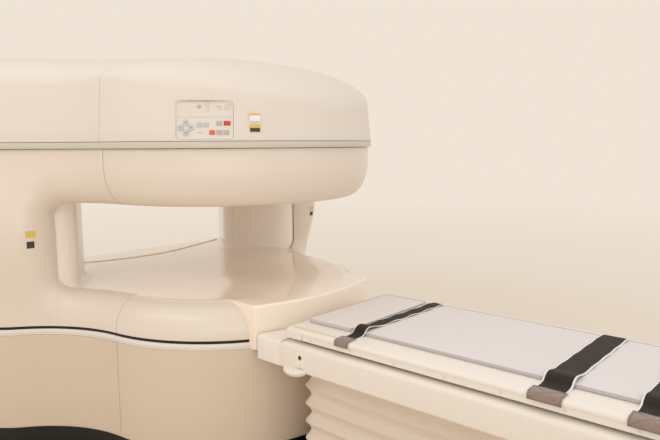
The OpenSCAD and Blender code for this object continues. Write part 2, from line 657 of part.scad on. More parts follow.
// Keys: column from the left, row from the bottom, width
key_pitch = 29;
first_key_x = -22.4;
function key_at(col, row) = [first_key_x + col * key_pitch, key_y + row * key_rows];
keys = [[key_at(0, 0.84), key_w], [key_at(0.97, 0.84), key_w], [key_at(2.87, 1), key_w],
    [key_at(4, 1), key_w + 5], [key_at(1.84, 0), key_w], [key_at(2.87, 0), key_w], [key_at(3.86, 0), key_w]];
module pad_hole(i, grow) translate([pad_x + pad_at[i].x * pad_pitch, pad_y + pad_at[i].y * pad_pitch])
    circle(pad_d / 2 + grow, $fn = 40);
module key_hole(i, grow) translate(keys[i][0]) square([keys[i][1] + 2 * grow, key_h + 2 * grow], center = true);
module control_panel() color([0.9, 0.89, 0.86]) on_panel() difference() {
    union() {
        translate([0, 0, -panel_t]) linear_extrude(panel_t) rounded(panel_w, panel_h, panel_corner);
        linear_extrude(rim_h) difference() {
            rounded(panel_w, panel_h, panel_corner);
            rounded(panel_w - 2 * rim_w, panel_h - 2 * rim_w, panel_corner - rim_w);
        }
    }
    translate([0, 0, -button_hole]) linear_extrude(button_hole + 1) {
        for (i = [0:3]) pad_hole(i, button_gap);
        for (i = [0:len(keys) - 1]) key_hole(i, button_gap);
    }
}
module button_body() translate([0, 0, -button_in]) linear_extrude(button_in + button_out) children();
module pad(i) color([0.75, 0.8, 0.82]) on_panel() button_body() pad_hole(i, 0);
module key(i, tone) color(tone) on_panel() button_body() key_hole(i, 0);
module up_button() pad(0);
module down_button() pad(1);
module left_button() pad(2);
module right_button() pad(3);
module lamp_button() key(0, [0.75, 0.77, 0.78]);
module fan_button() key(1, [0.75, 0.77, 0.78]);
module grey_button() key(2, [0.7, 0.72, 0.68]);
module red_button() key(3, [0.85, 0.1, 0.1]);
module orange_button() key(4, [0.95, 0.35, 0.2]);
module beige_button_1() key(5, [0.7, 0.7, 0.64]);
module beige_button_2() key(6, [0.7, 0.7, 0.64]);

// Magnet: yoke, posts, magnets, pole pieces and coils
post_c = [lobe_c.x + post_ahead, lobe_c.y + post_outside];
lower_coil_z = deck_z - cover_t - coil_t;
lower_piece_z = lower_coil_z - pole_piece_h;
lower_magnet_z = lower_piece_z - magnet_t;
lower_yoke_z = lower_magnet_z - yoke_t;
upper_coil_z = gap_top + cover_t;
upper_piece_z = upper_coil_z + coil_t;
upper_magnet_z = upper_piece_z + pole_piece_h;
upper_yoke_z = upper_magnet_z + magnet_t;
module yoke() color(steel) linear_extrude(yoke_t) union() {
    circle(yoke_r, $fn = 120);
    for (side = [-1, 1]) let (c = [post_c.x, side * post_c.y]) {
        translate(c) circle(post_r + post_pad, $fn = 96);
        rotate([0, 0, atan2(c.y, c.x)]) translate([0, -arm_w / 2]) square([norm(c), arm_w]);
    }
}
module lower_yoke() translate([0, 0, lower_yoke_z]) yoke();
module upper_yoke() translate([0, 0, upper_yoke_z]) yoke();
module yoke_post() color(steel) translate([post_c.x, post_c.y, lower_magnet_z])
    cylinder(r = post_r, h = upper_yoke_z - lower_magnet_z, $fn = 96);
module yoke_post_left() left_side() yoke_post();
module yoke_post_right() yoke_post();
module magnet_disc() color([0.35, 0.36, 0.4]) difference() {
    cylinder(r = magnet_r, h = magnet_t, $fn = 120);
    translate([0, 0, -1]) cylinder(d = anchor_d * 2, h = magnet_t + 2);
}
module lower_magnet() translate([0, 0, lower_magnet_z]) magnet_disc();
module upper_magnet() translate([0, 0, upper_magnet_z]) magnet_disc();
module pole_piece() color([0.6, 0.61, 0.63]) difference() {
    cylinder(r = pole_piece_r, h = pole_piece_h, $fn = 120);
    translate([0, 0, pole_piece_h - shim_h]) cylinder(r = pole_piece_r - shim_w, h = shim_h + 1, $fn = 120);
}
module coil_disc() color(copper) cylinder(r = coil_r, h = coil_t + shim_h, $fn = 120);
module lower_pole_piece() translate([0, 0, lower_piece_z]) pole_piece();
module lower_gradient_coil() translate([0, 0, lower_coil_z - shim_h]) coil_disc();
module upper_pole_piece() translate([0, 0, upper_magnet_z]) mirror([0, 0, 1]) pole_piece();
module upper_gradient_coil() translate([0, 0, upper_piece_z + shim_h]) mirror([0, 0, 1]) coil_disc();
foot_angles = [0, 120, 240];
module foot() difference() {
    union() {
        cylinder(r = foot_r, h = foot_pad_h);
        cylinder(r = foot_r * 0.6, h = lower_yoke_z);
    }
    translate([0, 0, -1]) cylinder(d = anchor_d, h = foot_pad_h + 1);
}
module leveling_feet() color([0.4, 0.4, 0.42]) {
    for (a = foot_angles) rotate([0, 0, a]) translate([foot_circle_r, 0]) foot();
    for (side = [-1, 1]) translate([post_c.x, side * post_c.y]) foot();
}

// Patient table: floor plate, lift columns and bellows
bellows_x = dock_end + bellows_in;
bellows_mid = bellows_x + bellows_l / 2;
module table_base() color([0.25, 0.25, 0.27]) union() {
    difference() {
        translate([pole_r - kick_in - 30, -tongue_w / 2, 0]) cube([bellows_x - pole_r + kick_in + 30, tongue_w, plate_t]);
        translate([0, 0, -1]) cylinder(r = pole_r - kick_in + seam, h = plate_t + 2, $fn = 180);
    }
    difference() {
        translate([bellows_x, -bellows_half_w, 0]) cube([bellows_l, 2 * bellows_half_w, tray_h]);
        translate([bellows_x + column_t, column_t - bellows_half_w, plate_t])
            cube([bellows_l - 2 * column_t, 2 * (bellows_half_w - column_t), tray_h]);
        for (x = [0.12, 0.88], y = [-1, 1])
            translate([bellows_x + x * bellows_l, y * (bellows_half_w - 60), -1]) cylinder(d = anchor_d, h = plate_t + 2);
    }
}
module tube(in, z) translate([bellows_mid, 0, z]) linear_extrude(column_l) difference() {
    square([column_w - 2 * in, column_d - 2 * in], center = true);
    square([column_w - 2 * in - 2 * column_t, column_d - 2 * in - 2 * column_t], center = true);
}
inner_z = frame_z - column_l;
middle_z = (inner_z + plate_t) / 2;
module lift_column() color([0.7, 0.7, 0.72]) tube(0, plate_t);
module lift_middle() color([0.75, 0.75, 0.77]) tube(column_t + column_gap, middle_z);
module lift_inner() color([0.8, 0.8, 0.82]) tube(2 * (column_t + column_gap), inner_z);

// Bellows: rings of a rounded box, out and in by turns
bellows_corner = 60;
fold_levels = [for (i = [0:fold_n * 4]) i / (fold_n * 4)];
function fold_out(f) = let (a = cos(360 * fold_n * f)) -fold_d * (0.5 - 0.5 * a);
function box_ring(out, z) = [for (c = [0:3], a = [0:3]) let (u = unit(90 * c + 30 * a),
    q = [c == 0 || c == 3 ? 1 : -1, c < 2 ? 1 : -1])
    [bellows_mid + q.x * (bellows_l / 2 - bellows_corner) + (bellows_corner + out) * u.x,
     q.y * (bellows_half_w - bellows_corner) + (bellows_corner + out) * u.y, z]];
function bellows_points(out) = [for (f = fold_levels) each box_ring(fold_out(f) - out, lerp(tray_h, frame_z, f))];
ring_numbers = [for (r = numbers(len(fold_levels), 16)) concat(r, [r[0]])];
module bellows() color([0.87, 0.83, 0.76]) shell(bellows_points(0), bellows_points(cloth_t),
    [for (t = tris_of(ring_numbers)) [t[0], t[2], t[1]]],
    [reverse([for (j = [0:15]) ring_numbers[0][j]]), [for (j = [0:15]) ring_numbers[len(fold_levels) - 1][j]]]);

// Frame of the table and the dock block before it
frame_x = dock_end;
frame_end = frame_x + frame_l;
module frame_section() translate([0, frame_z]) union() {
    translate([-frame_half_w, frame_edge_r / 2]) square([2 * frame_half_w, frame_h - 1.5 * frame_edge_r]);
    translate([frame_edge_r - frame_half_w, 0]) square([2 * (frame_half_w - frame_edge_r), frame_h]);
    for (x = [-1, 1]) {
        translate([x * (frame_half_w - frame_edge_r), frame_h - frame_edge_r]) circle(frame_edge_r, $fn = 40);
        translate([x * (frame_half_w - frame_edge_r / 2), frame_edge_r / 2]) circle(frame_edge_r / 2, $fn = 40);
        translate([x * (frame_half_w - frame_edge_r * 0.75) - frame_edge_r / 4, 0]) square([frame_edge_r / 2, frame_edge_r]);
    }
}
module along_x(from, to) translate([from, 0, 0]) rotate([90, 0, 90]) linear_extrude(to - from) children();
module foot_plan() union() {
    translate([frame_x - 1, -frame_half_w]) square([frame_l - foot_corner_r + 1, 2 * frame_half_w]);
    translate([frame_x, foot_corner_r - frame_half_w]) square([frame_l, 2 * (frame_half_w - foot_corner_r)]);
    for (y = [-1, 1]) translate([frame_end - foot_corner_r, y * (frame_half_w - foot_corner_r)]) circle(foot_corner_r, $fn = 64);
}
module table_frame() color(white) difference() {
    intersection() {
        along_x(frame_x + seam / 2, frame_end) frame_section();
        translate([0, 0, frame_z - 1]) linear_extrude(frame_h + 2) foot_plan();
    }
    translate([frame_x + beam_w, beam_w - frame_half_w, frame_z + frame_t])
        cube([frame_l - 2 * beam_w, 2 * (frame_half_w - beam_w), frame_h - 2 * frame_t]);
    translate([bellows_mid - hatch_w / 2, -hatch_w / 2, frame_z - 1]) cube([hatch_w, hatch_w, frame_t + 2]);
    translate([socket_x, -frame_half_w - 1, socket_z]) rotate([-90, 0, 0]) cylinder(d = socket_d + 2 * socket_gap, h = 31);
}
module dock_block() color(white) difference() {
    along_x(nose_front - dock_in, frame_x - seam / 2) frame_section();
    translate([nose_c.x, 0, frame_z - 1]) cylinder(r = nose_r + dock_gap, h = frame_h + 2, $fn = 180);
}

// Coil socket: brass barrel in a keyhole plate over a half-round cable rest
socket_x = dock_end + socket_in;
plate_bottom = socket_z - 50;
module coil_socket() color([0.8, 0.62, 0.3]) union() {
    difference() {
        union() {
            translate([socket_x, -frame_half_w - 3, socket_z]) rotate([-90, 0, 0]) cylinder(d = socket_d, h = 30);
            translate([socket_x, -frame_half_w, socket_z]) rotate([90, 0, 0]) cylinder(d = plate_w, h = 2);
            translate([socket_x - plate_w / 2, -frame_half_w - 2, plate_bottom]) cube([plate_w, 2, socket_z - plate_bottom]);
        }
        translate([socket_x, -frame_half_w - 5, socket_z]) rotate([-90, 0, 0]) cylinder(d = socket_bore, h = 24);
    }
    intersection() {
        translate([socket_x - 25, -frame_half_w + rest_t / 3, plate_bottom]) rotate_extrude($fn = 72)
            polygon(concat([[0, 0]], [for (a = [0:15:90]) [rest_r * cos(a), -rest_t * sin(a)]]));
        translate([socket_x - 25 - rest_r, -frame_half_w - rest_r, plate_bottom - rest_t])
            cube([2 * rest_r, rest_r, rest_t]);
    }
}

// Tabletop on its rails
top_x = frame_x + 4;
top_end = frame_end - 10;
top_z0 = frame_z + frame_h + rail_h + rail_gap;
board_z = top_z0 + top_t;
module tabletop_rails() color([0.6, 0.62, 0.64]) for (y = [-1, 1])
    translate([top_x + 40, y * rail_y - rail_w / 2, frame_z + frame_h]) cube([top_end - top_x - 80, rail_w, rail_h]);
module board_section() union() {
    translate([strip_in - top_half_w, 0]) square([2 * (top_half_w - strip_in), strip_h + 1]);
    translate([-top_half_w, strip_h]) square([2 * top_half_w, top_t - strip_h - top_edge_r]);
    translate([top_edge_r - top_half_w, strip_h]) square([2 * (top_half_w - top_edge_r), top_t - strip_h]);
    for (x = [-1, 1]) translate([x * (top_half_w - top_edge_r), top_t - top_edge_r]) circle(top_edge_r, $fn = 40);
}
module screw_caps() for (side = [-1, 1], i = [0:floor((top_end - top_x - head_cap_l - 60) / cap_pitch)])
    translate([top_x + head_cap_l + 50 + i * cap_pitch, side * (top_half_w - strip_in - 1), top_z0 + strip_h / 2])
        rotate([side * -90, 0, 0]) cylinder(d = cap_d, h = 2.5, $fn = 24);
module tabletop() color(white) union() {
    translate([0, 0, top_z0]) along_x(top_x, top_end) board_section();
    for (side = [-1, 1]) translate([top_x, side * (top_half_w - strip_in) - (side < 0 ? strip_in : 0), top_z0])
        cube([head_cap_l, strip_in, strip_h + 1]);
    screw_caps();
}

// Mats and straps
mat_z = board_z + soft_gap;
head_mat_x = top_x + 22;
main_mat_x = head_mat_x + head_mat_l + 3;
module mat(from, to, t) color([0.82, 0.81, 0.84]) translate([from, mat_shift - mat_half_w, mat_z])
    linear_extrude(t) translate([(to - from) / 2, mat_half_w]) rounded(to - from, 2 * mat_half_w, 20);
module head_mat() mat(head_mat_x, head_mat_x + head_mat_l, head_mat_t);
module main_mat() mat(main_mat_x, top_end - 30, mat_t);
// A strap runs from under the near edge over the mat to the far edge
function strap_path(g) = let (y = top_half_w + soft_gap + g, r = top_edge_r + soft_gap + g, z = board_z + soft_gap + g,
    m = mat_z + mat_t + soft_gap + g, a = mat_shift - mat_half_w - soft_gap - g, b = mat_shift + mat_half_w + soft_gap + g)
    concat([[-y, top_z0 + strip_h + 2]], [for (k = [0:4]) [-y + r, z - r] + r * unit(180 - 22.5 * k)],
        [[a, z], [a, m], [b, m], [b, z]], [for (k = [0:4]) [y - r, z - r] + r * unit(90 - 22.5 * k)],
        [[y, top_z0 + strip_h + 2]]);
module strap(x, w) color([0.16, 0.16, 0.17]) along_x(x, x + w)
    polygon(concat(strap_path(0), reverse(strap_path(strap_t))));
head_strap_x = main_mat_x + 8;
body_strap_x = dock_end + body_strap_in;
foot_strap_x = body_strap_x + foot_strap_in;
module strap_head() strap(head_strap_x, head_strap_w);
module strap_body() strap(body_strap_x, body_strap_w);
module strap_foot() strap(foot_strap_x, body_strap_w);

toe_kick();
leveling_feet();
lower_yoke();
upper_yoke();
yoke_post_left();
yoke_post_right();
lower_magnet();
upper_magnet();
lower_pole_piece();
upper_pole_piece();
lower_gradient_coil();
upper_gradient_coil();
deck_panel();
lower_cover_left();
lower_cover_right();
side_cover_left();
side_cover_right();
pillar_cover_left();
pillar_cover_right();
pillar_rear_left();
pillar_rear_right();
rear_cover_lower();
rear_cover_upper();
skirt_front();
skirt_left();
skirt_right();
belt_trim();
belt_seal();
bowl_cover();
grey_band();
top_cover_front();
top_cover_left();
top_cover_right();
control_panel();
up_button();
down_button();
left_button();
right_button();
lamp_button();
fan_button();
grey_button();
red_button();
orange_button();
beige_button_1();
beige_button_2();
table_base();
lift_column();
lift_middle();
lift_inner();
bellows();
table_frame();
dock_block();
coil_socket();
tabletop();
tabletop_rails();
head_mat();
main_mat();
strap_head();
strap_body();
strap_foot();
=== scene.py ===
import math
from contextlib import contextmanager
import bmesh
import bpy
import numpy as np
from mathutils import Matrix, Vector


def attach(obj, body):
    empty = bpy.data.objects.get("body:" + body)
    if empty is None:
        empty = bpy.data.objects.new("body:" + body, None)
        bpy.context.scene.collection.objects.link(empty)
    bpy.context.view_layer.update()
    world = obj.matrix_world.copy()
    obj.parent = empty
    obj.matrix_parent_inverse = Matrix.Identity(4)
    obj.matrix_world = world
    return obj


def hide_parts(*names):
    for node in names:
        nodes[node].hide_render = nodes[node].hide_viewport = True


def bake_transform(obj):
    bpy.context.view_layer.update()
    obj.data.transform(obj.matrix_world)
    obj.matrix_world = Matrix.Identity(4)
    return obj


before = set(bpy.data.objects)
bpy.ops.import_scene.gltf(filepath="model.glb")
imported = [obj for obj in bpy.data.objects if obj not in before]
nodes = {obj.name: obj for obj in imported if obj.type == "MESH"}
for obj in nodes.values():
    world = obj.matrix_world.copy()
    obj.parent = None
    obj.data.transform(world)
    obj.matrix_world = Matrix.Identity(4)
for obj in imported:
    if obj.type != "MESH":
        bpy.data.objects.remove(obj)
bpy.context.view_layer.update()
scene = bpy.context.scene
print("frame loaded,", len(nodes), "nodes")

# camera: solved from the level edges of the table and the gantry
cameraSetup = {"place": (2.658, -2.176, 1.475), "tilt": 83.068, "roll": -0.3634, "turn": 41.257,
               "lens": 33.79}
cameraData = bpy.data.cameras.new("photoCamera")
camera = bpy.data.objects.new("photoCamera", cameraData)
scene.collection.objects.link(camera)
camera.matrix_world = (Matrix.Translation(cameraSetup["place"])
                       @ Matrix.Rotation(math.radians(cameraSetup["turn"]), 4, "Z")
                       @ Matrix.Rotation(math.radians(cameraSetup["tilt"]), 4, "X")
                       @ Matrix.Rotation(math.radians(cameraSetup["roll"]), 4, "Z"))
cameraData.lens = cameraSetup["lens"]
cameraData.sensor_width = 36
cameraData.clip_end = 60
scene.camera = camera
scene.view_settings.view_transform = "Standard"


# small helpers
def rgb(hexText, alpha=1.0):
    values = [int(hexText[i:i + 2], 16) / 255 for i in (0, 2, 4)]
    return [v / 12.92 if v <= 0.04045 else ((v + 0.055) / 1.055) ** 2.4 for v in values] + [alpha]


def unit(angle):
    return np.array([math.cos(math.radians(angle)), math.sin(math.radians(angle))])


def lerp(a, b, t):
    return a + (b - a) * t


def ease(t):
    t = min(max(t, 0.0), 1.0)
    return t * t * (3 - 2 * t)


def steps(count):
    return [i / count for i in range(count + 1)]


# plan of the gantry, in millimetres: pole, waist, lobe and rear arcs, each tangent to the next
planSizes = {"poleR": 746, "waistR": 661, "lobeR": 381, "lobeBack": 676, "lobeSide": 767, "rearBack": 820,
             "rearTurn": 170}
levels = {"kick": 110, "belt": 575, "cover": 617, "deck": 775, "gapTop": 1205, "band": 1463, "bandTop": 1493,
          "crestFront": 1643, "crestSide": 1773, "top": 1915}
poleR, waistR, lobeR = planSizes["poleR"], planSizes["waistR"], planSizes["lobeR"]
lobeC = np.array([-planSizes["lobeBack"], planSizes["lobeSide"]], float)
lobeDist = float(np.linalg.norm(lobeC))
waistTurn = math.degrees(math.acos(((poleR + waistR) ** 2 + lobeDist ** 2 - (lobeR + waistR) ** 2)
                                   / (2 * (poleR + waistR) * lobeDist)))
waistA = math.degrees(math.atan2(lobeC[1], lobeC[0])) - waistTurn
waistC = (poleR + waistR) * unit(waistA)
waistFrom = waistA + 180
waistTo = 360 + math.degrees(math.atan2(lobeC[1] - waistC[1], lobeC[0] - waistC[0]))
rearIn = planSizes["lobeBack"] - planSizes["rearBack"]
rearR = (rearIn ** 2 + lobeC[1] ** 2 - lobeR ** 2) / (2 * (lobeR + rearIn))
rearC = np.array([-planSizes["rearBack"] - rearR, 0.0])
lobeFrom = waistTo - 180
lobeTo = 360 + math.degrees(math.atan2(rearC[1] - lobeC[1], rearC[0] - lobeC[0]))
waistL = math.radians(waistFrom - waistTo) * waistR
lobeL = math.radians(lobeTo - lobeFrom) * lobeR
rearS = 2 + (planSizes["rearTurn"] - lobeFrom) / (lobeTo - lobeFrom)
sideL = waistL + (rearS - 2) * lobeL
mirrorY = np.array([1.0, -1.0])


def planAt(s, out=0.0):
    # a point of the outline: s = 0 at the nose, 1 waist, 2 lobe, 3 rear arc, 4 middle of the back,
    # and below 0 on the left
    if s < 0:
        return planAt(-s, out) * mirrorY
    if s < 1:
        n = unit(s * waistA)
        return (poleR + out) * n
    if s < 2:
        n = unit(lerp(waistFrom, waistTo, s - 1))
        return waistC + (waistR - out) * n
    if s < 3:
        n = unit(lerp(lobeFrom, lobeTo, s - 2))
        return lobeC + (lobeR + out) * n
    n = unit(lerp(lobeTo - 180, 0, s - 3))
    return rearC + (rearR - out) * n


def stationOf(length):
    return 1 + length / waistL if length < waistL else 2 + (length - waistL) / lobeL


stationCounts = {0: 72, 1: 40, 2: 64, 3: 36}


def stations(fromS, toS):
    both = sorted({sign * (i + k / n) for i, n in stationCounts.items() for k in range(n)
                   for sign in (-1, 1)} | {4.0})
    return [fromS] + [s for s in both if fromS + 0.004 < s < toS - 0.004] + [toS]


def onPlan(s, out, z):
    p = planAt(s, out)
    return (p[0], p[1], z)


# mesh helpers; all points are in millimetres until they enter a mesh
def gridFaces(rows, cols, start=0, wrap=False):
    faces = []
    for i in range(rows - 1):
        for j in range(cols if wrap else cols - 1):
            k = (j + 1) % cols
            faces.append((start + i * cols + j, start + i * cols + k, start + (i + 1) * cols + k,
                          start + (i + 1) * cols + j))
    return faces


@contextmanager
def editing(obj, target=None):
    # the piece's mesh as a bmesh, written back to it or to another piece
    bm = bmesh.new()
    bm.from_mesh(obj.data)
    yield bm
    bm.to_mesh((target or obj).data)
    bm.free()


def newMesh(name, points, faces, edges=()):
    mesh = bpy.data.meshes.new(name)
    mesh.from_pydata([tuple(0.001 * c for c in p) for p in points], edges, faces)
    obj = bpy.data.objects.new(name, mesh)
    scene.collection.objects.link(obj)
    return obj


def cleanOpen(obj, inside, merge=0.05):
    # merge doubles, drop empty faces and turn the faces away from a point inside
    centre = Vector([c * 0.001 for c in inside])
    with editing(obj) as bm:
        bmesh.ops.remove_doubles(bm, verts=bm.verts, dist=merge * 0.001)
        bmesh.ops.dissolve_degenerate(bm, edges=bm.edges, dist=1e-6)
        bmesh.ops.recalc_face_normals(bm, faces=bm.faces)
        score = sum((f.calc_center_median() - centre).normalized().dot(f.normal) * f.calc_area()
                    for f in bm.faces)
        if score < 0:
            bmesh.ops.reverse_faces(bm, faces=bm.faces)


def bake(obj):
    depsgraph = bpy.context.evaluated_depsgraph_get()
    baked = bpy.data.meshes.new_from_object(obj.evaluated_get(depsgraph), depsgraph=depsgraph)
    obj.modifiers.clear()
    obj.data = baked
    return obj


def thicken(obj, wall, even=True, offset=-1):
    solid = obj.modifiers.new("wall", "SOLIDIFY")
    solid.thickness = wall * 0.001
    solid.offset = offset
    solid.use_even_offset = even
    solid.use_quality_normals = even
    return bake(obj)


def softenEdges(obj, radius, segments=2, sharper=50, keep=None):
    # round the edges sharper than the angle, except those that keep() picks
    with editing(obj) as bm:
        picked = [e for e in bm.edges if len(e.link_faces) == 2
                  and e.calc_face_angle(0) > math.radians(sharper)
                  and not (keep and keep((e.verts[0].co + e.verts[1].co) * 500))]
        if picked:
            bmesh.ops.bevel(bm, geom=picked, offset=radius * 0.001, offset_type="OFFSET", segments=segments,
                            profile=0.5, affect="EDGES", clamp_overlap=True)
    return obj


def closeUp(obj):
    # outward normals on a closed form
    with editing(obj) as bm:
        bmesh.ops.remove_doubles(bm, verts=bm.verts, dist=2e-6)
        bmesh.ops.recalc_face_normals(bm, faces=bm.faces)
    return obj


def splitPanels(obj):
    # the level panels are one large face each, which becomes triangles
    with editing(obj) as bm:
        bmesh.ops.triangulate(bm, faces=[x for x in bm.faces if len(x.verts) > 8])


def cutOut(obj, tool):
    # take the tool's volume away from a piece
    window = obj.modifiers.new("cut", "BOOLEAN")
    window.object = tool
    window.solver = "EXACT"
    bake(obj)
    bpy.data.objects.remove(tool)
    return obj


def endCaps(rings, n):
    # faces that close the first and the last ring of n points
    return [tuple(range(n - 1, -1, -1)), tuple((rings - 1) * n + i for i in range(n))]


def ringClosure(last, n):
    # faces from the last ring back to the first
    return [(last * n + j, last * n + (j + 1) % n, (j + 1) % n, j) for j in range(n)]


def outlineNormals(outline):
    # a closed outline as an array, and its outward normals
    arr = np.array(outline, float)
    tangent = np.roll(arr, -1, axis=0) - np.roll(arr, 1, axis=0)
    tangent /= np.linalg.norm(tangent, axis=1)[:, None]
    return arr, np.stack([tangent[:, 1], -tangent[:, 0]], axis=1)


def dress(obj, body, material, hides=(), angle=32):
    # finish, movement and material of a finished piece
    obj.data.materials.clear()
    for m in material if isinstance(material, (list, tuple)) else [material]:
        obj.data.materials.append(m)
    obj.data.shade_smooth()
    obj.data.set_sharp_from_angle(angle=math.radians(angle))
    if body:
        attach(obj, body)
    if hides:
        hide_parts(*hides)
    return obj


def mirrored(obj, name):
    twin = newMesh(name, [], [])
    with editing(obj, twin) as bm:
        for v in bm.verts:
            v.co.y = -v.co.y
        bmesh.ops.reverse_faces(bm, faces=bm.faces)
    return twin


def sweepPlan(name, profile, fromS, toS):
    # a profile of (out, z) points that follows the outline
    run = stations(fromS, toS)
    points = [onPlan(s, out, z) for out, z in profile for s in run]
    obj = newMesh(name, points, gridFaces(len(profile), len(run)))
    cleanOpen(obj, (-200, 0, 800))
    return obj


# shader groups: each puts out colour, roughness and normal
finishSockets = (("Colour", "Color", "Base Color"), ("Roughness", "Float", "Roughness"),
                 ("Normal", "Vector", "Normal"))


def newGroup(name, inputs):
    tree = bpy.data.node_groups.new(name, "ShaderNodeTree")
    for label, value in inputs.items():
        kind = "NodeSocketFloat" if isinstance(value, float) else "NodeSocketColor"
        tree.interface.new_socket(name=label, in_out="INPUT", socket_type=kind).default_value = value
    for label, kind, target in finishSockets:
        tree.interface.new_socket(name=label, in_out="OUTPUT", socket_type="NodeSocket" + kind)
    return tree, tree.nodes.new("NodeGroupInput").outputs, tree.nodes.new("NodeGroupOutput")


def node(tree, kind, **values):
    made = tree.nodes.new(kind)
    for key, value in values.items():
        if key in made.inputs:
            made.inputs[key].default_value = value
        else:
            setattr(made, key, value)
    return made


def fed(tree, kind, feeds, **values):
    # a node with its inputs linked
    made = node(tree, kind, **values)
    for key, source in feeds.items():
        tree.links.new(source, made.inputs[key])
    return made


def math2(tree, operation, a, b=None, clamp=False):
    made = node(tree, "ShaderNodeMath", operation=operation, use_clamp=clamp)
    for i, v in enumerate((a, b)):
        if isinstance(v, (int, float)):
            made.inputs[i].default_value = v
        elif v is not None:
            tree.links.new(v, made.inputs[i])
    return made.outputs[0]


def drift(tree, source, amount):
    # a noise around zero, times an amount
    return math2(tree, "MULTIPLY", math2(tree, "SUBTRACT", source, 0.5), amount)


def noiseAt(tree, vector, scale, detail=3.0, rough=0.55):
    made = fed(tree, "ShaderNodeTexNoise", {"Vector": vector}, Scale=scale, Detail=detail, Roughness=rough)
    return made.outputs["Fac"]


def objectCoords(tree, scale=(1, 1, 1)):
    coords = tree.nodes.new("ShaderNodeTexCoord").outputs["Object"]
    return fed(tree, "ShaderNodeMapping", {"Vector": coords}, Scale=scale).outputs["Vector"]


def endGroup(tree, end, colour, value, roughness, bump, height):
    # brightness, roughness and bump go to the three outputs
    shade = fed(tree, "ShaderNodeHueSaturation", {"Color": colour, "Value": value})
    tree.links.new(height, bump.inputs["Height"])
    for socket, label in ((shade.outputs["Color"], "Colour"), (roughness, "Roughness"),
                          (bump.outputs["Normal"], "Normal")):
        tree.links.new(socket, end.inputs[label])
    return tree


def makeMoulding():
    # moulded and lacquered plastic: slow colour drift, faint orange peel, a little uneven gloss
    tree, start, end = newGroup("mouldedFinish", {"Colour": (0.8, 0.8, 0.8, 1), "Drift": 0.03, "Gloss": 0.3,
                                                  "Gloss drift": 0.06, "Peel": 0.02, "Peel size": 260.0})
    place = objectCoords(tree)
    slow = noiseAt(tree, place, 1.7, 4.0)
    fine = noiseAt(tree, place, 38.0, 2.0)
    shade = math2(tree, "ADD", drift(tree, slow, start["Drift"]),
                  drift(tree, fine, math2(tree, "MULTIPLY", start["Drift"], 0.35)))
    gloss = math2(tree, "ADD", start["Gloss"], drift(tree, fine, start["Gloss drift"]), clamp=True)
    peel = fed(tree, "ShaderNodeTexNoise", {"Vector": place, "Scale": start["Peel size"]}, Detail=2.0,
               Roughness=0.5)
    bump = fed(tree, "ShaderNodeBump", {"Strength": start["Peel"]}, Distance=0.0006)
    return endGroup(tree, end, start["Colour"], math2(tree, "ADD", 1.0, shade), gloss, bump,
                    peel.outputs["Fac"])


def makeWeave():
    # threads across and along, slub and soft dirt
    tree, start, end = newGroup("wovenCloth", {"Colour": (0.5, 0.5, 0.5, 1), "Threads": 900.0, "Depth": 0.3,
                                               "Fade": 0.1})
    place = objectCoords(tree)
    apart = tree.nodes.new("ShaderNodeSeparateXYZ")
    tree.links.new(place, apart.inputs[0])
    waves = [math2(tree, "SINE", math2(tree, "MULTIPLY", apart.outputs[axis], start["Threads"]))
             for axis in "XYZ"]
    weave = math2(tree, "ADD", math2(tree, "MULTIPLY", waves[0], waves[1]),
                  math2(tree, "MULTIPLY", waves[2], 0.5))
    slub = noiseAt(tree, objectCoords(tree, (60, 60, 60)), 3.0, 3.0)
    cloudy = noiseAt(tree, place, 6.0, 4.0)
    value = math2(tree, "ADD", drift(tree, cloudy, start["Fade"]),
                  drift(tree, slub, math2(tree, "MULTIPLY", start["Fade"], 0.8)))
    rough = math2(tree, "ADD", 0.62, math2(tree, "MULTIPLY", slub, 0.2))
    bump = fed(tree, "ShaderNodeBump", {"Strength": start["Depth"]}, Distance=0.0005)
    return endGroup(tree, end, start["Colour"], math2(tree, "ADD", 1.0, value), rough, bump,
                    math2(tree, "ADD", weave, slub))


def makeMetal():
    # machined or painted metal: fine brushing, worn patches
    tree, start, end = newGroup("brushedMetal", {"Colour": (0.5, 0.5, 0.5, 1), "Base": 0.35})
    grain = noiseAt(tree, objectCoords(tree, (2, 60, 240)), 3.0, 4.0)
    patch = noiseAt(tree, objectCoords(tree), 5.0, 5.0)
    value = math2(tree, "ADD", 0.92, math2(tree, "MULTIPLY", patch, 0.16))
    rough = math2(tree, "ADD", start["Base"], math2(tree, "MULTIPLY", grain, 0.15))
    return endGroup(tree, end, start["Colour"], value, rough,
                    node(tree, "ShaderNodeBump", Distance=0.0004, Strength=0.12), grain)


mouldedFinish, wovenCloth, brushedMetal = makeMoulding(), makeWeave(), makeMetal()


def newMaterial(name, preview):
    material = bpy.data.materials.new(name)
    material.use_nodes = True
    material.diffuse_color = preview
    return material, material.node_tree, material.node_tree.nodes["Principled BSDF"]


def painted(name, hexText, group, inputs, settings):
    # a material with a finish group and its own constant settings
    material, tree, shader = newMaterial(name, rgb(hexText))
    finish = node(tree, "ShaderNodeGroup", node_tree=group)
    for key, value in {"Colour": rgb(hexText), **inputs}.items():
        finish.inputs[key].default_value = value
    for label, kind, target in finishSockets:
        tree.links.new(finish.outputs[label], shader.inputs[target])
    for key, value in settings.items():
        shader.inputs[key].default_value = value
    return material


def moulded(name, hexText, gloss=0.3, drift=0.03, peel=0.02, peelSize=260.0, glossDrift=0.06, coat=0.0,
            coatRough=0.05):
    return painted(name, hexText, mouldedFinish,
                   {"Drift": drift, "Gloss": gloss, "Gloss drift": glossDrift, "Peel": peel,
                    "Peel size": peelSize},
                   {"Coat Weight": coat, "Coat Roughness": coatRough, "IOR": 1.5})


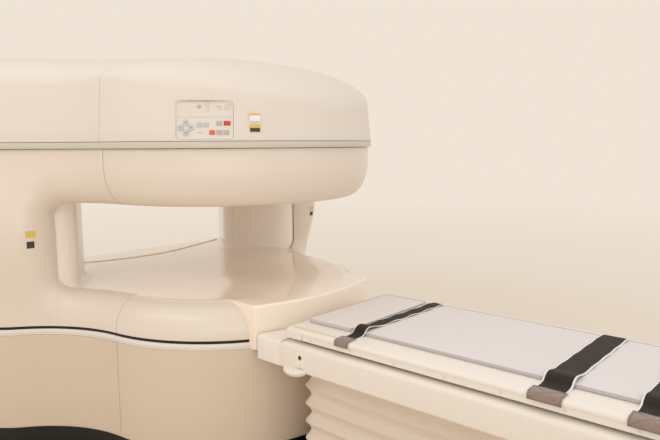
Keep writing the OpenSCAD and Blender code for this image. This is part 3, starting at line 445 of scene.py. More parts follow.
def woven(name, hexText, threads=900.0, depth=0.3, fade=0.1, sheen=0.15):
    return painted(name, hexText, wovenCloth, {"Threads": threads, "Depth": depth, "Fade": fade},
                   {"Sheen Weight": sheen, "Specular IOR Level": 0.3})


def metal(name, hexText, rough=0.35, metallic=1.0):
    return painted(name, hexText, brushedMetal, {"Base": rough}, {"Metallic": metallic})


# the pillar, cover, deck and skirt paints are one ivory plastic in lit and shaded copies: the pillars' and
# the deck's colour is lightened as painted light, the covers' and the skirts' darkened as painted shade
pillarGlossLit = moulded("pillarGlossLit", "f6ece0", gloss=0.25, coat=0.4, coatRough=0.08)
coverGlossShaded = moulded("coverGlossShaded", "e4d8ca", gloss=0.32, coat=0.25, coatRough=0.12)
deckGlossLit = moulded("deckGlossLit", "faebda", gloss=0.2, glossDrift=0.03, coat=0.6, coatRough=0.04, peel=0.008)
skirtSatinShaded = moulded("skirtSatinShaded", "d8c7b3", gloss=0.38)
topSatin = moulded("topSatin", "e4dad0", gloss=0.36, peel=0.035)
bandGrey = moulded("bandGrey", "cfc7bd", gloss=0.35)
beltSilver = moulded("beltSilver", "e8e1da", gloss=0.24)
gapLineBlack = moulded("gapLineBlack", "151210", gloss=0.6)
kickBlack = moulded("kickBlack", "120e0c", gloss=0.5)
tableWhite = moulded("tableWhite", "efe7de", gloss=0.33)
frameWhite = moulded("frameWhite", "ece3d8", gloss=0.34)
capIvory = moulded("capIvory", "e2dac8", gloss=0.4)
panelIvory = moulded("panelIvory", "e3dbd2", gloss=0.4, peel=0.05)
buttonGrey = moulded("buttonGrey", "c9cbcb", gloss=0.35)
buttonBeige = moulded("buttonBeige", "bdb9ab", gloss=0.4)
buttonRed = moulded("buttonRed", "d03a2c", gloss=0.35)
buttonOrange = moulded("buttonOrange", "e2683f", gloss=0.35)
markLilac = moulded("markLilac", "8f84b8", gloss=0.4)
markGreen = moulded("markGreen", "74ab8b", gloss=0.4)
printGrey = moulded("printGrey", "9a948e", gloss=0.5)
lampGrey = moulded("lampGrey", "b9b9b6", gloss=0.25)
labelWhite = moulded("labelWhite", "f4efe6", gloss=0.4)
labelYellow = moulded("labelYellow", "dcc05a", gloss=0.4)
labelDark = moulded("labelDark", "3b3733", gloss=0.45)
magnetGrey = metal("magnetGrey", "696a6e", 0.5, 0.6)
yokeSteel = metal("yokeSteel", "8b8d90", 0.5, 0.5)
poleSteel = metal("poleSteel", "a7a8aa", 0.35, 0.9)
coilResin = moulded("coilResin", "b57b4c", gloss=0.45, drift=0.12, peel=0.2, peelSize=60.0)
railSteel = metal("railSteel", "b9bbbe", 0.25, 1.0)
liftSteel = metal("liftSteel", "c3c4c6", 0.4, 0.7)
baseDark = moulded("baseDark", "4a4743", gloss=0.5, drift=0.1, peel=0.25, peelSize=120.0)
footSteel = metal("footSteel", "77787b", 0.45, 0.7)
brass = metal("brass", "b98a3f", 0.25, 1.0)
matCloth = woven("matCloth", "e1dad9", threads=1500.0, depth=0.16, fade=0.05, sheen=0.1)
headCloth = woven("headCloth", "e4dbd6", threads=1500.0, depth=0.16, fade=0.05, sheen=0.1)
pipingCloth = woven("pipingCloth", "cbc3c0", threads=2200.0, depth=0.2, fade=0.06)
strapCloth = woven("strapCloth", "28231d", threads=1600.0, depth=0.7, fade=0.3, sheen=0.05)
wrapCloth = woven("wrapCloth", "978379", threads=1900.0, depth=0.6, fade=0.16, sheen=0.3)
bindingCloth = woven("bindingCloth", "eee8e2", threads=2600.0, depth=0.4, fade=0.08)
threadCloth = woven("threadCloth", "6e5f58", threads=3000.0, depth=0.5, fade=0.1)
bellowsCloth = woven("bellowsCloth", "dfd0c0", threads=1400.0, depth=0.25, fade=0.08)
print("cloth and metal")

# side covers: one swept moulding round the side gap
sideCover = {"wall": 6, "upperOut": 24, "bulge": 60, "upperRoundW": 115, "upperRoundH": 175,
             "lowerRoundW": 130, "lowerRoundH": 150, "endEdge": 74, "endRoundL": 115, "gapL": 368,
             "cornerR": 70, "beyondRound": 60, "seamGap": 1.3, "edge": 2.2, "roundRows": 16, "wallRows": 6,
             "gapCols": 16, "cornerCols": 24, "endCols": 12, "backCols": 56}


def wallOut(s, z):
    c = sideCover
    b = math.sin(math.pi * (z - levels["cover"]) / (levels["band"] - levels["cover"]))
    return (c["upperOut"] * ease((z - levels["deck"]) / (levels["gapTop"] - levels["deck"]))
            + c["bulge"] * ease(s - 1) * ease((rearS - s) * 3) * b * b)


def sideSpokes():
    c = sideCover
    straight, split = c["gapL"] - c["cornerR"], c["gapL"] + c["endRoundL"] + c["beyondRound"]
    upperEdge = c["upperRoundW"] - c["upperOut"]
    top, bottom, band, cover = levels["gapTop"], levels["deck"], levels["band"], levels["cover"]
    upperC, lowerC = top - c["cornerR"], bottom + c["cornerR"]

    def cornerSpoke(f, turn, side, roundH, edge, outerEnd):
        u = unit(turn)
        base = np.array([straight, side])
        return [base + c["cornerR"] * u,
                base + np.array([(c["cornerR"] + c["endRoundL"]) * u[0], (c["cornerR"] + roundH) * u[1]]),
                np.array(outerEnd), lerp(edge, c["endEdge"], math.sin(math.radians(90 * f)))]

    spokes = [[np.array([t * straight, top]), np.array([t * straight, top + c["upperRoundH"]]),
               np.array([t * straight, band]), upperEdge] for t in steps(c["gapCols"])]
    n = c["cornerCols"]
    for i in range(1, n + 1):
        f = i / n
        end = [lerp(straight, split, 2 * f), band] if f <= 0.5 else [split, lerp(band, upperC, 2 * f - 1)]
        spokes.append(cornerSpoke(f, 90 - 90 * f, upperC, c["upperRoundH"], upperEdge, end))
    for i in range(1, c["endCols"] + 1):
        z = lerp(upperC, lowerC, i / c["endCols"])
        spokes.append([np.array([c["gapL"], z]), np.array([c["gapL"] + c["endRoundL"], z]),
                       np.array([split, z]), c["endEdge"]])
    for i in range(1, n + 1):
        f = 1 - i / n
        end = [split, lerp(cover, lowerC, 2 * f - 1)] if f >= 0.5 else [lerp(straight, split, 2 * f), cover]
        spokes.append(cornerSpoke(f, 90 * f - 90, lowerC, c["lowerRoundH"], c["lowerRoundW"], end))
    for t in steps(c["gapCols"])[1:]:
        x = (1 - t) * straight
        spokes.append([np.array([x, bottom]), np.array([x, bottom - c["lowerRoundH"]]), np.array([x, cover]),
                       c["lowerRoundW"]])
    first = c["gapCols"] + n // 2
    return spokes, first, first + n + c["endCols"], split


def onCover(q, sink):
    c = sideCover
    along = min(max(q[0], c["seamGap"]), sideL - c["seamGap"])
    z = min(max(q[1], levels["cover"] + c["seamGap"]), levels["band"] - c["seamGap"])
    s = stationOf(along)
    return onPlan(s, wallOut(s, z) - sink, z)


def makeSideCover(name):
    c = sideCover
    spokes, first, last, split = sideSpokes()
    points = []
    for k in range(c["roundRows"] + c["wallRows"] + 1):
        a = math.radians(90 * min(k / c["roundRows"], 1))
        for r in spokes:
            if k <= c["roundRows"]:
                depth = r[3] + wallOut(stationOf(r[0][0]), r[0][1])
                points.append(onCover(lerp(r[0], r[1], 1 - math.cos(a)), depth * (1 - math.sin(a))))
            else:
                points.append(onCover(lerp(r[1], r[2], (k - c["roundRows"]) / c["wallRows"]), 0))
    faces = gridFaces(c["roundRows"] + c["wallRows"] + 1, len(spokes))
    start = len(points)
    for k in range(c["backCols"] + 1):
        for j in range(first, last + 1):
            points.append(onCover([lerp(split, sideL, k / c["backCols"]), spokes[j][2][1]], 0))
    faces += gridFaces(c["backCols"] + 1, last - first + 1, start)
    obj = newMesh(name, points, faces)
    cleanOpen(obj, (-560, 620, 990))
    thicken(obj, c["wall"])
    lowEdge, highEdge = levels["cover"] + 4, levels["band"] - 4

    def atGap(m):
        # the rim round the gap butts against deck, bowl and pillar, so it stays square
        return lowEdge < m.z < highEdge and not nearSeam(m)

    softenEdges(obj, c["edge"], keep=atGap)
    return closeUp(obj)


def nearSeam(m):
    # the cover seam at the waist or the one behind the lobe
    for s in (1.0, rearS):
        p = planAt(s)
        n = (planAt(s, 10) - p) / 10
        if abs(np.dot(np.array([m.x, abs(m.y)]) - p, np.array([-n[1], n[0]]))) < 9:
            return True
    return False


sideRight = makeSideCover("sideMouldingRight")
sideLeft = mirrored(sideRight, "sideMouldingLeft")
# the side covers take the darkened cover paint, painted shade
dress(sideRight, "gantry", coverGlossShaded, ["side_cover_right"])
dress(sideLeft, "gantry", coverGlossShaded, ["side_cover_left"])
print("side covers", len(sideRight.data.polygons))

# pillars: inner cover with its flare, and the strip behind the seam
pillar = {"faceDist": 755, "faceAngle": 121.5, "faceShift": 65, "faceR": 900, "frontR": 120, "frontTurn": 40,
          "frontS": 130, "seamS": 168, "rearR": 80, "outerR": 90, "flareEnd": 10, "flareRun": 40,
          "flareR": 30, "wall": 5, "seamGap": 1.1, "edge": 1.6}
faceN = unit(pillar["faceAngle"] - 180)
faceD = np.array([faceN[1], -faceN[0]])
faceP = -pillar["faceDist"] * faceN + pillar["faceShift"] * faceD
faceC = faceP - pillar["faceR"] * faceN
faceA = pillar["faceAngle"] - 180
frontA = faceA + math.degrees(pillar["frontS"] / pillar["faceR"])
seamA = faceA - math.degrees(pillar["seamS"] / pillar["faceR"])
cornerA = seamA - 2.2
frontC = faceC + (pillar["faceR"] - pillar["frontR"]) * unit(frontA)
rearCornerC = faceC + (pillar["faceR"] - pillar["rearR"]) * unit(cornerA)
outerCornerC = lobeC + (lobeR - pillar["outerR"]) * unit(planSizes["rearTurn"])
cornerGap = outerCornerC - rearCornerC
cornerTurn = (math.degrees(math.atan2(cornerGap[1], cornerGap[0]))
              + math.degrees(math.acos((pillar["rearR"] - pillar["outerR"]) / np.linalg.norm(cornerGap)))
              - 360)


def arcPath(centre, radius, fromA, toA, count):
    return [(centre + radius * unit(lerp(fromA, toA, t)), unit(lerp(fromA, toA, t))) for t in steps(count)]


gapTurn = math.degrees(pillar["seamGap"] / pillar["faceR"])
innerPath = (arcPath(frontC, pillar["frontR"], pillar["frontTurn"], frontA, 26)
             + arcPath(faceC, pillar["faceR"], frontA, seamA + gapTurn / 2, 26)[1:])
rearPath = (arcPath(faceC, pillar["faceR"], seamA - gapTurn / 2, cornerA, 3)
            + arcPath(rearCornerC, pillar["rearR"], cornerA, cornerTurn, 16)[1:]
            + arcPath(outerCornerC, pillar["outerR"], cornerTurn, planSizes["rearTurn"] - 360, 20))


def pillarSkin(name, path):
    rows = [(levels["deck"] + pillar["flareR"] * (1 - math.cos(a)), pillar["flareR"] * (1 - math.sin(a)))
            for a in (math.radians(90 * t) for t in steps(9))]
    rows += [(lerp(levels["deck"] + pillar["flareR"], levels["gapTop"], t), 0) for t in steps(10)[1:]]
    points = []
    for z, flare in rows:
        for p, u in path:
            q = p + flare * ease((pillar["flareEnd"] - math.degrees(math.atan2(u[1], u[0])))
                                 / pillar["flareRun"]) * u
            points.append((q[0], q[1], z))
    obj = newMesh(name, points, gridFaces(len(rows), len(path)))
    cleanOpen(obj, (lobeC[0] - 40, lobeC[1] + 20, 990))
    thicken(obj, pillar["wall"])
    softenEdges(obj, pillar["edge"], keep=lambda m: m.z < levels["deck"] + 3 or m.z > levels["gapTop"] - 3)
    return closeUp(obj)


pillarParts = [(name, nodeName, pillarSkin(name + "Right", path)) for name, nodeName, path in
               (("pillarFace", "pillar_cover", innerPath), ("pillarBack", "pillar_rear", rearPath))]
# the pillars take the lightened pillar paint, painted light
for name, nodeName, made in pillarParts:
    dress(made, "gantry", pillarGlossLit, [nodeName + "_right"])
for name, nodeName, made in pillarParts:
    dress(mirrored(made, name + "Left"), "gantry", pillarGlossLit, [nodeName + "_left"])
print("pillars")

# deck with its nose and the bead down to the belt
deckForm = {"noseHalfW": 405, "noseFront": 742, "noseR": 1041, "edge": 13, "corner": 16, "roundW": 130,
            "roundH": 150, "wall": 5, "seamGap": 1.3, "beadRows": 18, "beadCols": 40, "panelEdge": 1.8}


def levelOutline(edge, rearOut, startAngle, endTrim, poleCount):
    # right half of a level panel: the pole's arc, the waist, the pillar and the back to its middle
    c = sideCover
    points = [(poleR - edge) * unit(lerp(startAngle, waistA - endTrim, t)) for t in steps(poleCount)]
    points += [planAt(stationOf(t * (c["gapL"] - c["cornerR"])), -edge) for t in steps(c["gapCols"])[1:]]
    points += [planAt(stationOf(c["gapL"]), -c["endEdge"] - 12),
               frontC + (pillar["frontR"] + 14) * unit(pillar["frontTurn"])]
    path = innerPath + rearPath
    points += [p - 3 * u for p, u in path[:-3]]
    points += [planAt(s, rearOut) for s in stations(rearS + 0.02, 4.0)]
    return points


def noseOutline():
    # the nose from its left root to its right root: points, outward normals and the edge radius there
    f = deckForm
    inner = poleR - f["roundW"]
    rootX = math.sqrt(inner ** 2 - f["noseHalfW"] ** 2)
    centre = np.array([f["noseFront"] - f["noseR"], 0.0])
    # corner arc, tangent to the side and the front arc
    cy = f["noseHalfW"] - f["corner"]
    cx = centre[0] + math.sqrt((f["noseR"] - f["corner"]) ** 2 - cy ** 2)
    cornerC = np.array([cx, cy])
    startAngle = math.degrees(math.atan2(cy, cx - centre[0]))
    run = [(centre + f["noseR"] * unit(a), unit(a)) for a in (startAngle * t for t in steps(40))]
    run += [(cornerC + f["corner"] * unit(a), unit(a))
            for a in (lerp(startAngle, 90, t) for t in steps(8)[1:])]
    side = steps(24)[1:]
    run += [(np.array([lerp(cx, rootX, t), f["noseHalfW"]]), np.array([0.0, 1.0])) for t in side]
    half = [(p, n, f["edge"] * ease((p[0] - rootX) / 60)) for p, n in run]
    left = [(p * mirrorY, n * mirrorY, r) for p, n, r in reversed(half[1:])]
    return left + half


def makeDeck():
    f = deckForm
    inner = poleR - f["roundW"]
    rootA = math.degrees(math.asin(f["noseHalfW"] / inner))
    trimA = math.degrees(f["seamGap"] / poleR)
    half = levelOutline(f["roundW"], -sideCover["wall"], rootA, trimA, f["beadCols"])
    nose = noseOutline()
    ring = [p - r * n for p, n, r in nose] + half[1:] + [p * mirrorY for p in reversed(half[1:-1])]
    points = [(p[0], p[1], levels["deck"]) for p in ring]
    faces = [tuple(range(len(points)))]
    # rounded edge and wall of the nose
    rows = [(math.sin(math.radians(a)), 1 - math.cos(math.radians(a))) for a in (0, 15, 30, 45, 60, 75, 90)]
    start = len(points)
    for across, down in rows:
        points += [((p + (across - 1) * r * n)[0], (p + (across - 1) * r * n)[1], levels["deck"] - r * down)
                   for p, n, r in nose]
    for z in (700, 640, levels["belt"]):
        points += [(p[0], p[1], z) for p, n, r in nose]
    faces += gridFaces(len(rows) + 3, len(nose), start)
    # the turned bead on both sides
    for side in (1, -1):
        start = len(points)
        for k in range(f["beadRows"] + 1):
            a = math.radians(90 * (1 - k / f["beadRows"]))
            rho = inner + f["roundW"] * math.cos(a)
            z = levels["deck"] - f["roundH"] * (1 - math.sin(a))
            first = math.degrees(math.asin(f["noseHalfW"] / rho))
            for t in steps(f["beadCols"]):
                p = rho * unit(lerp(first, waistA - trimA, t))
                points.append((p[0], side * p[1], z))
        a = levels["cover"] + f["seamGap"]
        for t in steps(f["beadCols"]):
            p = poleR * unit(lerp(math.degrees(math.asin(f["noseHalfW"] / poleR)), waistA - trimA, t))
            points.append((p[0], side * p[1], a))
        faces += gridFaces(f["beadRows"] + 2, f["beadCols"] + 1, start)
    obj = newMesh("deckMoulding", points, faces)
    splitPanels(obj)
    cleanOpen(obj, (0, 0, 600))
    thicken(obj, f["wall"], even=False)
    softenEdges(obj, f["panelEdge"], sharper=60, keep=lambda m: m.z > levels["deck"] - 8 and not nearSeam(m))
    return closeUp(obj)


deck = makeDeck()
dress(deck, "gantry", (deckGlossLit, coverGlossShaded),
      ["deck_panel", "lower_cover_left", "lower_cover_right"], angle=40)
for face in deck.data.polygons:
    # the turned bead has the side covers' paint, darkened as painted shade; the level panel and the nose the
    # glossier deck paint, lightened as painted light
    middle = face.center * 1000
    face.material_index = int(middle.z < levels["deck"] - 5 and abs(middle.y) > deckForm["noseHalfW"] + 1)
print("deck")

# upper pole: bowl rim with the level panel over the gap
bowl = {"wall": 6, "roundRows": 20, "seamGap": 1.3, "edge": 2.0}


def makeBowl():
    c = sideCover
    upperEdge = c["upperRoundW"] - c["upperOut"]
    trimA = math.degrees(bowl["seamGap"] / poleR)
    half = levelOutline(upperEdge, c["upperOut"] - 6, 0, trimA, 60)
    ring = half + [p * mirrorY for p in reversed(half[1:-1])]
    points = [(p[0], p[1], levels["gapTop"]) for p in ring]
    faces = [tuple(range(len(points)))]
    start = len(points)
    outer = poleR + c["upperOut"]
    rows = [(outer - c["upperRoundW"] * (1 - math.sin(math.radians(90 * t))),
             levels["gapTop"] + c["upperRoundH"] * (1 - math.cos(math.radians(90 * t))))
            for t in steps(bowl["roundRows"])]
    rows += [(outer, lerp(rows[-1][1], levels["band"] - bowl["seamGap"], t)) for t in (0.5, 1)]
    angles = [lerp(-waistA + trimA, waistA - trimA, t) for t in steps(120)]
    for r, z in rows:
        points += [(r * unit(a)[0], r * unit(a)[1], z) for a in angles]
    faces += gridFaces(len(rows), len(angles), start)
    obj = newMesh("poleBowl", points, faces)
    splitPanels(obj)
    cleanOpen(obj, (0, 0, 1500))
    thicken(obj, bowl["wall"])
    softenEdges(obj, bowl["edge"], sharper=60, keep=lambda m: m.z < levels["gapTop"] + 12 and not nearSeam(m))
    return closeUp(obj)


poleBowl = makeBowl()
# the bowl takes the darkened cover paint, painted shade
dress(poleBowl, "gantry", coverGlossShaded, ["bowl_cover"], angle=40)
print("bowl")

# grey band, belt, the black line in the gap above it, skirts, toe kick and rear covers, all swept along the
# plan
trims = {"bandOut": 40, "beltEndGap": 0.6, "rearWall": 5, "rearEdge": 1.5, "skirtEdge": 1.6}


def profileOn(base, points):
    # (out, up) points set on a height
    return [(out, base + up) for out, up in points]


bandRun = profileOn(levels["band"], [(-4, 0.5), (37, 0.5), (39, 1.5), (40, 4), (40, 26), (39.2, 28.4),
                                     (37, 29.4), (24, 29.8), (24, 25), (-4, 25), (-4, 0.5)])
band = closeUp(sweepPlan("bandTrim", bandRun, -4.0, 4.0))
dress(band, "gantry", bandGrey, ["grey_band"], angle=30)


def closedSweep(name, profile, fromS, toS, closeEnds=True):
    run = stations(fromS, toS)
    n = len(profile)
    points = [onPlan(s, out, z) for s in run for out, z in profile]
    faces = gridFaces(len(run), n, wrap=True)
    if closeEnds:
        faces += endCaps(len(run), n)
    obj = closeUp(newMesh(name, points, faces))
    with editing(obj) as bm:
        if bm.calc_volume(signed=True) < 0:
            bmesh.ops.reverse_faces(bm, faces=bm.faces)
    return obj


beltProfile = profileOn(levels["belt"], [(-30, 0.5), (-2, 0.5), (0, 2), (0.6, 10), (2.6, 11.2), (4, 13.5),
                                         (4.2, 21), (3.4, 26.5), (0.5, 29.2), (-30, 29.5)])
# a black strip that fills the gap between the belt and the cover above it
gapLineProfile = profileOn(levels["cover"], [(-30, -12), (-4.5, -12), (-4, -11), (-4, -1), (-4.5, -0.2),
                                          (-30, -0.2)])
# the belt and the black gap line end at the nose
beltEnd = math.degrees(math.asin((deckForm["noseHalfW"] + trims["beltEndGap"]) / (poleR + 4))) / waistA


def joined(objs, name):
    bm = bmesh.new()
    for o in objs:
        bm.from_mesh(o.data)
        bpy.data.objects.remove(o)
    out = newMesh(name, [], [])
    bm.to_mesh(out.data)
    bm.free()
    return out


def bothSides(name, profile):
    return joined([closedSweep("half", profile, a, b) for a, b in ((beltEnd, 4.0), (-4.0, -beltEnd))], name)


dress(bothSides("beltSilver", beltProfile), "gantry", beltSilver, ["belt_trim"], angle=28)
dress(bothSides("beltGapLine", gapLineProfile), "gantry", gapLineBlack, ["belt_seal"])

skirtProfile = (profileOn(levels["belt"], [(0, -0.7), (-1, 0), (-28, 0), (-28, -6), (-6, -6)])
                + profileOn(levels["kick"], [(-6, 10), (-24, 6), (-24, 0), (-10, 0), (-5, 1.4), (-1.6, 5),
                                             (0, 12), (0, 240)]))
# the skirts take the darkened skirt paint, painted shade
for name, a, b, nodeName in (("skirtFront", -1 + 0.0011, 1 - 0.0011, "skirt_front"),
                             ("skirtRight", 1 + 0.0022, 4 - 0.001, "skirt_right")):
    skirt = closedSweep(name, skirtProfile, a, b)
    softenEdges(skirt, trims["skirtEdge"], sharper=70,
                keep=lambda m: m.z > levels["belt"] - 2 or m.z < levels["kick"] + 4)
    if nodeName == "skirt_right":
        dress(mirrored(skirt, "skirtLeft"), "gantry", skirtSatinShaded, ["skirt_left"])
    dress(skirt, "gantry", skirtSatinShaded, [nodeName])
kickProfile = ([(-52, 0.5), (-50.5, 0.5), (-50, 2)]
               + profileOn(levels["kick"], [(-50, -2), (-14, -2), (-14, 0), (-62, 0)]) + [(-62, 0.5)])
kick = closedSweep("toeKick", kickProfile, -4.0, 4.0, closeEnds=False)
dress(kick, "gantry", kickBlack, ["toe_kick"])

rearGrid = {"rear_cover_lower": (profileOn(levels["cover"], [(0, 1.3), (0, 73)])
                                 + profileOn(levels["deck"], [(0, -15), (-1.2, -5.6), (-4.5, -1), (-9, 0)])),
            "rear_cover_upper": (profileOn(levels["gapTop"], [(18, 0.2), (22, 1.4), (24, 6), (24, 95)])
                                 + profileOn(levels["band"], [(24, -1.3)]))}
# the rear covers take the darkened cover paint, painted shade
for nodeName, profile in rearGrid.items():
    halves = [sweepPlan("half", profile, a, b) for a, b in ((rearS + 0.0022, 4.0), (-4.0, -rearS - 0.0022))]
    rear = joined(halves, "rearLow" if nodeName.endswith("lower") else "rearHigh")
    cleanOpen(rear, (-300, 0, 990))
    thicken(rear, trims["rearWall"])
    softenEdges(rear, trims["rearEdge"], sharper=70)
    dress(closeUp(rear), "gantry", coverGlossShaded, [nodeName])
print("band, belt, skirts, toe kick, rear covers")

# top covers
topForm = {"crestIn": 20, "wall": 6, "domeRows": 26, "edge": 2.0, "shoulder": 6, "merge": 0.4}


def crestZ(s):
    a = math.sin(math.radians(90 * min(abs(s), 1)))
    return lerp(levels["crestFront"], levels["crestSide"], a * a)


def ridge(s):
    if s < 1:
        return np.zeros(2)
    if s < 2:
        return lobeC * (s - 1)
    if s < 3:
        return lobeC.copy()
    return lobeC * (4 - s)


def domePoint(s, v):
    base = math.radians(topForm["shoulder"])
    a = lerp(base, math.pi / 2, v)
    reach = (math.cos(base) - math.cos(a)) / math.cos(base)
    rise = (math.sin(a) - math.sin(base)) / (1 - math.sin(base))
    e = planAt(s, trims["bandOut"] - topForm["crestIn"])
    m = ridge(abs(s)) * (mirrorY if s < 0 else 1)
    p = lerp(e, m, reach)
    c = crestZ(s)
    return (p[0], p[1], c + (levels["top"] - c) * rise)


def topRows(s):
    c = crestZ(s)
    rows = [onPlan(s, trims["bandOut"] - topForm["crestIn"] * f, lerp(levels["bandTop"] + 1.2, c, f))
            for f in (0, 0.2, 0.4, 0.6, 0.8, 0.93)]
    return rows + [domePoint(s, v) for v in steps(topForm["domeRows"])]


def makeTop(name, run):
    columns = [topRows(s) for s in run]
    return newMesh(name, [p for row in zip(*columns) for p in row], gridFaces(len(columns[0]), len(columns)))


topFront = makeTop("topFront", stations(-1 + 0.0012, 1 - 0.0012))
cleanOpen(topFront, (300, 0, 1500), merge=topForm["merge"])
thicken(topFront, topForm["wall"])
armCounts = (40, 64, 40)
armRun = ([1 + 0.0024 + (1 - 0.0024) * i / armCounts[0] for i in range(armCounts[0] + 1)]
          + [2 + i / armCounts[1] for i in range(1, armCounts[1] + 1)]
          + [3 + (1 - 0.001) * i / armCounts[2] for i in range(1, armCounts[2] + 1)])


def makeArmTop(name):
    # both slopes share the ridge between the pole's axis and the lobe's centre
    obj = makeTop(name, armRun)
    cols, (n0, n1, _) = len(armRun), armCounts
    ridgeRow = obj.data.vertices[len(obj.data.vertices) - cols:]
    for j, v in enumerate(ridgeRow):
        v.co = ridgeRow[j if j <= n0 else (n0 if j <= n0 + n1 else cols - 1 - j)].co
    cleanOpen(obj, (-500, 560, 1500), merge=topForm["merge"])
    thicken(obj, topForm["wall"])
    return obj


topRight = makeArmTop("topRight")
# the window of the control panel in the front cover
panelForm = {"angle": 45.7, "z": 1580, "w": 240, "h": 160, "corner": 16, "gap": 0.9, "rimW": 4}
panelTilt = math.atan(topForm["crestIn"] / (levels["crestSide"] - levels["bandTop"]))
panelOut = ((poleR + trims["bandOut"] - topForm["crestIn"] / 3)
            * math.cos(math.asin(panelForm["w"] / 2 / poleR)) - 3)
panelPlace = (Matrix.Rotation(math.radians(-panelForm["angle"]), 4, "Z")
              @ Matrix.Translation((panelOut / 1000, 0, panelForm["z"] / 1000))
              @ Matrix.Rotation(-panelTilt, 4, "Y")
              @ Matrix(((0, 0, 1, 0), (1, 0, 0, 0), (0, 1, 0, 0), (0, 0, 0, 1))))


def roundedOutline(w, h, r, count=8):
    points = []
    for cx, cy, a in ((w / 2 - r, h / 2 - r, 0), (r - w / 2, h / 2 - r, 90), (r - w / 2, r - h / 2, 180),
                      (w / 2 - r, r - h / 2, 270)):
        points += [(cx + r * unit(a + 90 * t)[0], cy + r * unit(a + 90 * t)[1]) for t in steps(count)]
    return points


def prism(name, outline, levelsAndInsets, place=None):
    # an outline drawn in by an inset at each level, with caps
    arr, normal = outlineNormals(outline)
    points = [(*(p - inset * m), z) for z, inset in levelsAndInsets for p, m in zip(arr, normal)]
    rows, n = len(levelsAndInsets), len(outline)
    obj = newMesh(name, points, gridFaces(rows, n, wrap=True) + endCaps(rows, n))
    if place is not None:
        obj.data.transform(place)
    return closeUp(obj)


def panelWindow():
    f, g = panelForm, panelForm["gap"]
    return prism("window", roundedOutline(f["w"] + 2 * g, f["h"] + 2 * g, f["corner"] + g),
                 [(-60, 0), (60, 0)], panelPlace)


softenEdges(cutOut(topFront, panelWindow()), topForm["edge"], sharper=48)
softenEdges(topRight, topForm["edge"], sharper=60)
closeUp(topRight)
for made, nodeName in ((closeUp(topFront), "top_cover_front"),
                       (mirrored(topRight, "topLeft"), "top_cover_left"),
                       (topRight, "top_cover_right")):
    dress(made, "gantry", topSatin, [nodeName], angle=30)
print("top covers")


# control panel, its buttons, lamp and printed fields
def panelMatrix(x=0, y=0, z=0):
    return panelPlace @ Matrix.Translation((x / 1000, y / 1000, z / 1000))


def panelPlate():
    f = panelForm
    outline = roundedOutline(f["w"], f["h"], f["corner"])
    rim = f["rimW"]
    outer = [(-16, 0), (3.6, 0), (4.6, 0.4), (5, 1.2), (5, rim - 1.4), (4.4, rim - 0.5), (3.2, rim),
             (1.2, rim), (0.3, rim + 0.5), (0, rim + 1.6)]
    plate = prism("panelPlate", outline, outer, panelPlace)
    through, g = [(-11.5, 0), (9, 0)], padForm["gap"]
    outlines = [(circleOutline(padForm["d"] / 2 + g, 40), x, y) for x, y in padSpots]
    outlines += [(roundedOutline(w + 2 * g, keyForm["h"] + 2 * g, 1.6, 4), x, y) for x, y, w in keySpots]
    holes = [prism("hole", hole, through, panelMatrix(x, y)) for hole, x, y in outlines]
    return closeUp(cutOut(plate, joined(holes, "holes")))


def circleOutline(r, count=40):
    return [tuple(r * unit(360 * i / count)) for i in range(count)]


padForm = {"d": 26, "pitch": 20.8, "x": -77.6, "y": -31.4, "gap": 0.5, "arrow": 7.4}
keyForm = {"h": 18, "rows": 38, "y": -51, "firstX": -22.4, "pitch": 29, "barH": 1.6}
padSpots = [(padForm["x"] + dx * padForm["pitch"], padForm["y"] + dy * padForm["pitch"])
            for dx, dy in ((0, 1), (0, -1), (-1, 0), (1, 0))]
# column, row and width of each square button
keyPlaces = ((0, 0.84, 22), (0.97, 0.84, 22), (2.87, 1, 22), (4, 1, 27), (1.84, 0, 22), (2.87, 0, 22),
             (3.86, 0, 22))
keySpots = [(keyForm["firstX"] + col * keyForm["pitch"], keyForm["y"] + row * keyForm["rows"], w)
            for col, row, w in keyPlaces]
padNames = ["up_button", "down_button", "left_button", "right_button"]
keyNames = ["lamp_button", "fan_button", "grey_button", "red_button", "orange_button", "beige_button_1",
            "beige_button_2"]
dress(panelPlate(), "gantry", panelIvory, ["control_panel"], angle=30)


def arrowMark(place, size, turn):
    # a flat raised arrow head on a button
    outline = [tuple(size * r * unit(90 + 120 * i + turn)) for i, r in enumerate((1, 0.85, 0.85))]
    return prism("mark", outline, [(0, 0), (0.5, 0.05)], place)


def markedButton(name, nodeName, cap, mark, paints):
    # a cap and its raised mark in a second colour
    raised = len(mark.data.polygons)
    button = joined([cap, mark], name)
    dress(button, nodeName, paints, [nodeName], angle=30)
    for face in button.data.polygons[len(button.data.polygons) - raised:]:
        face.material_index = 1


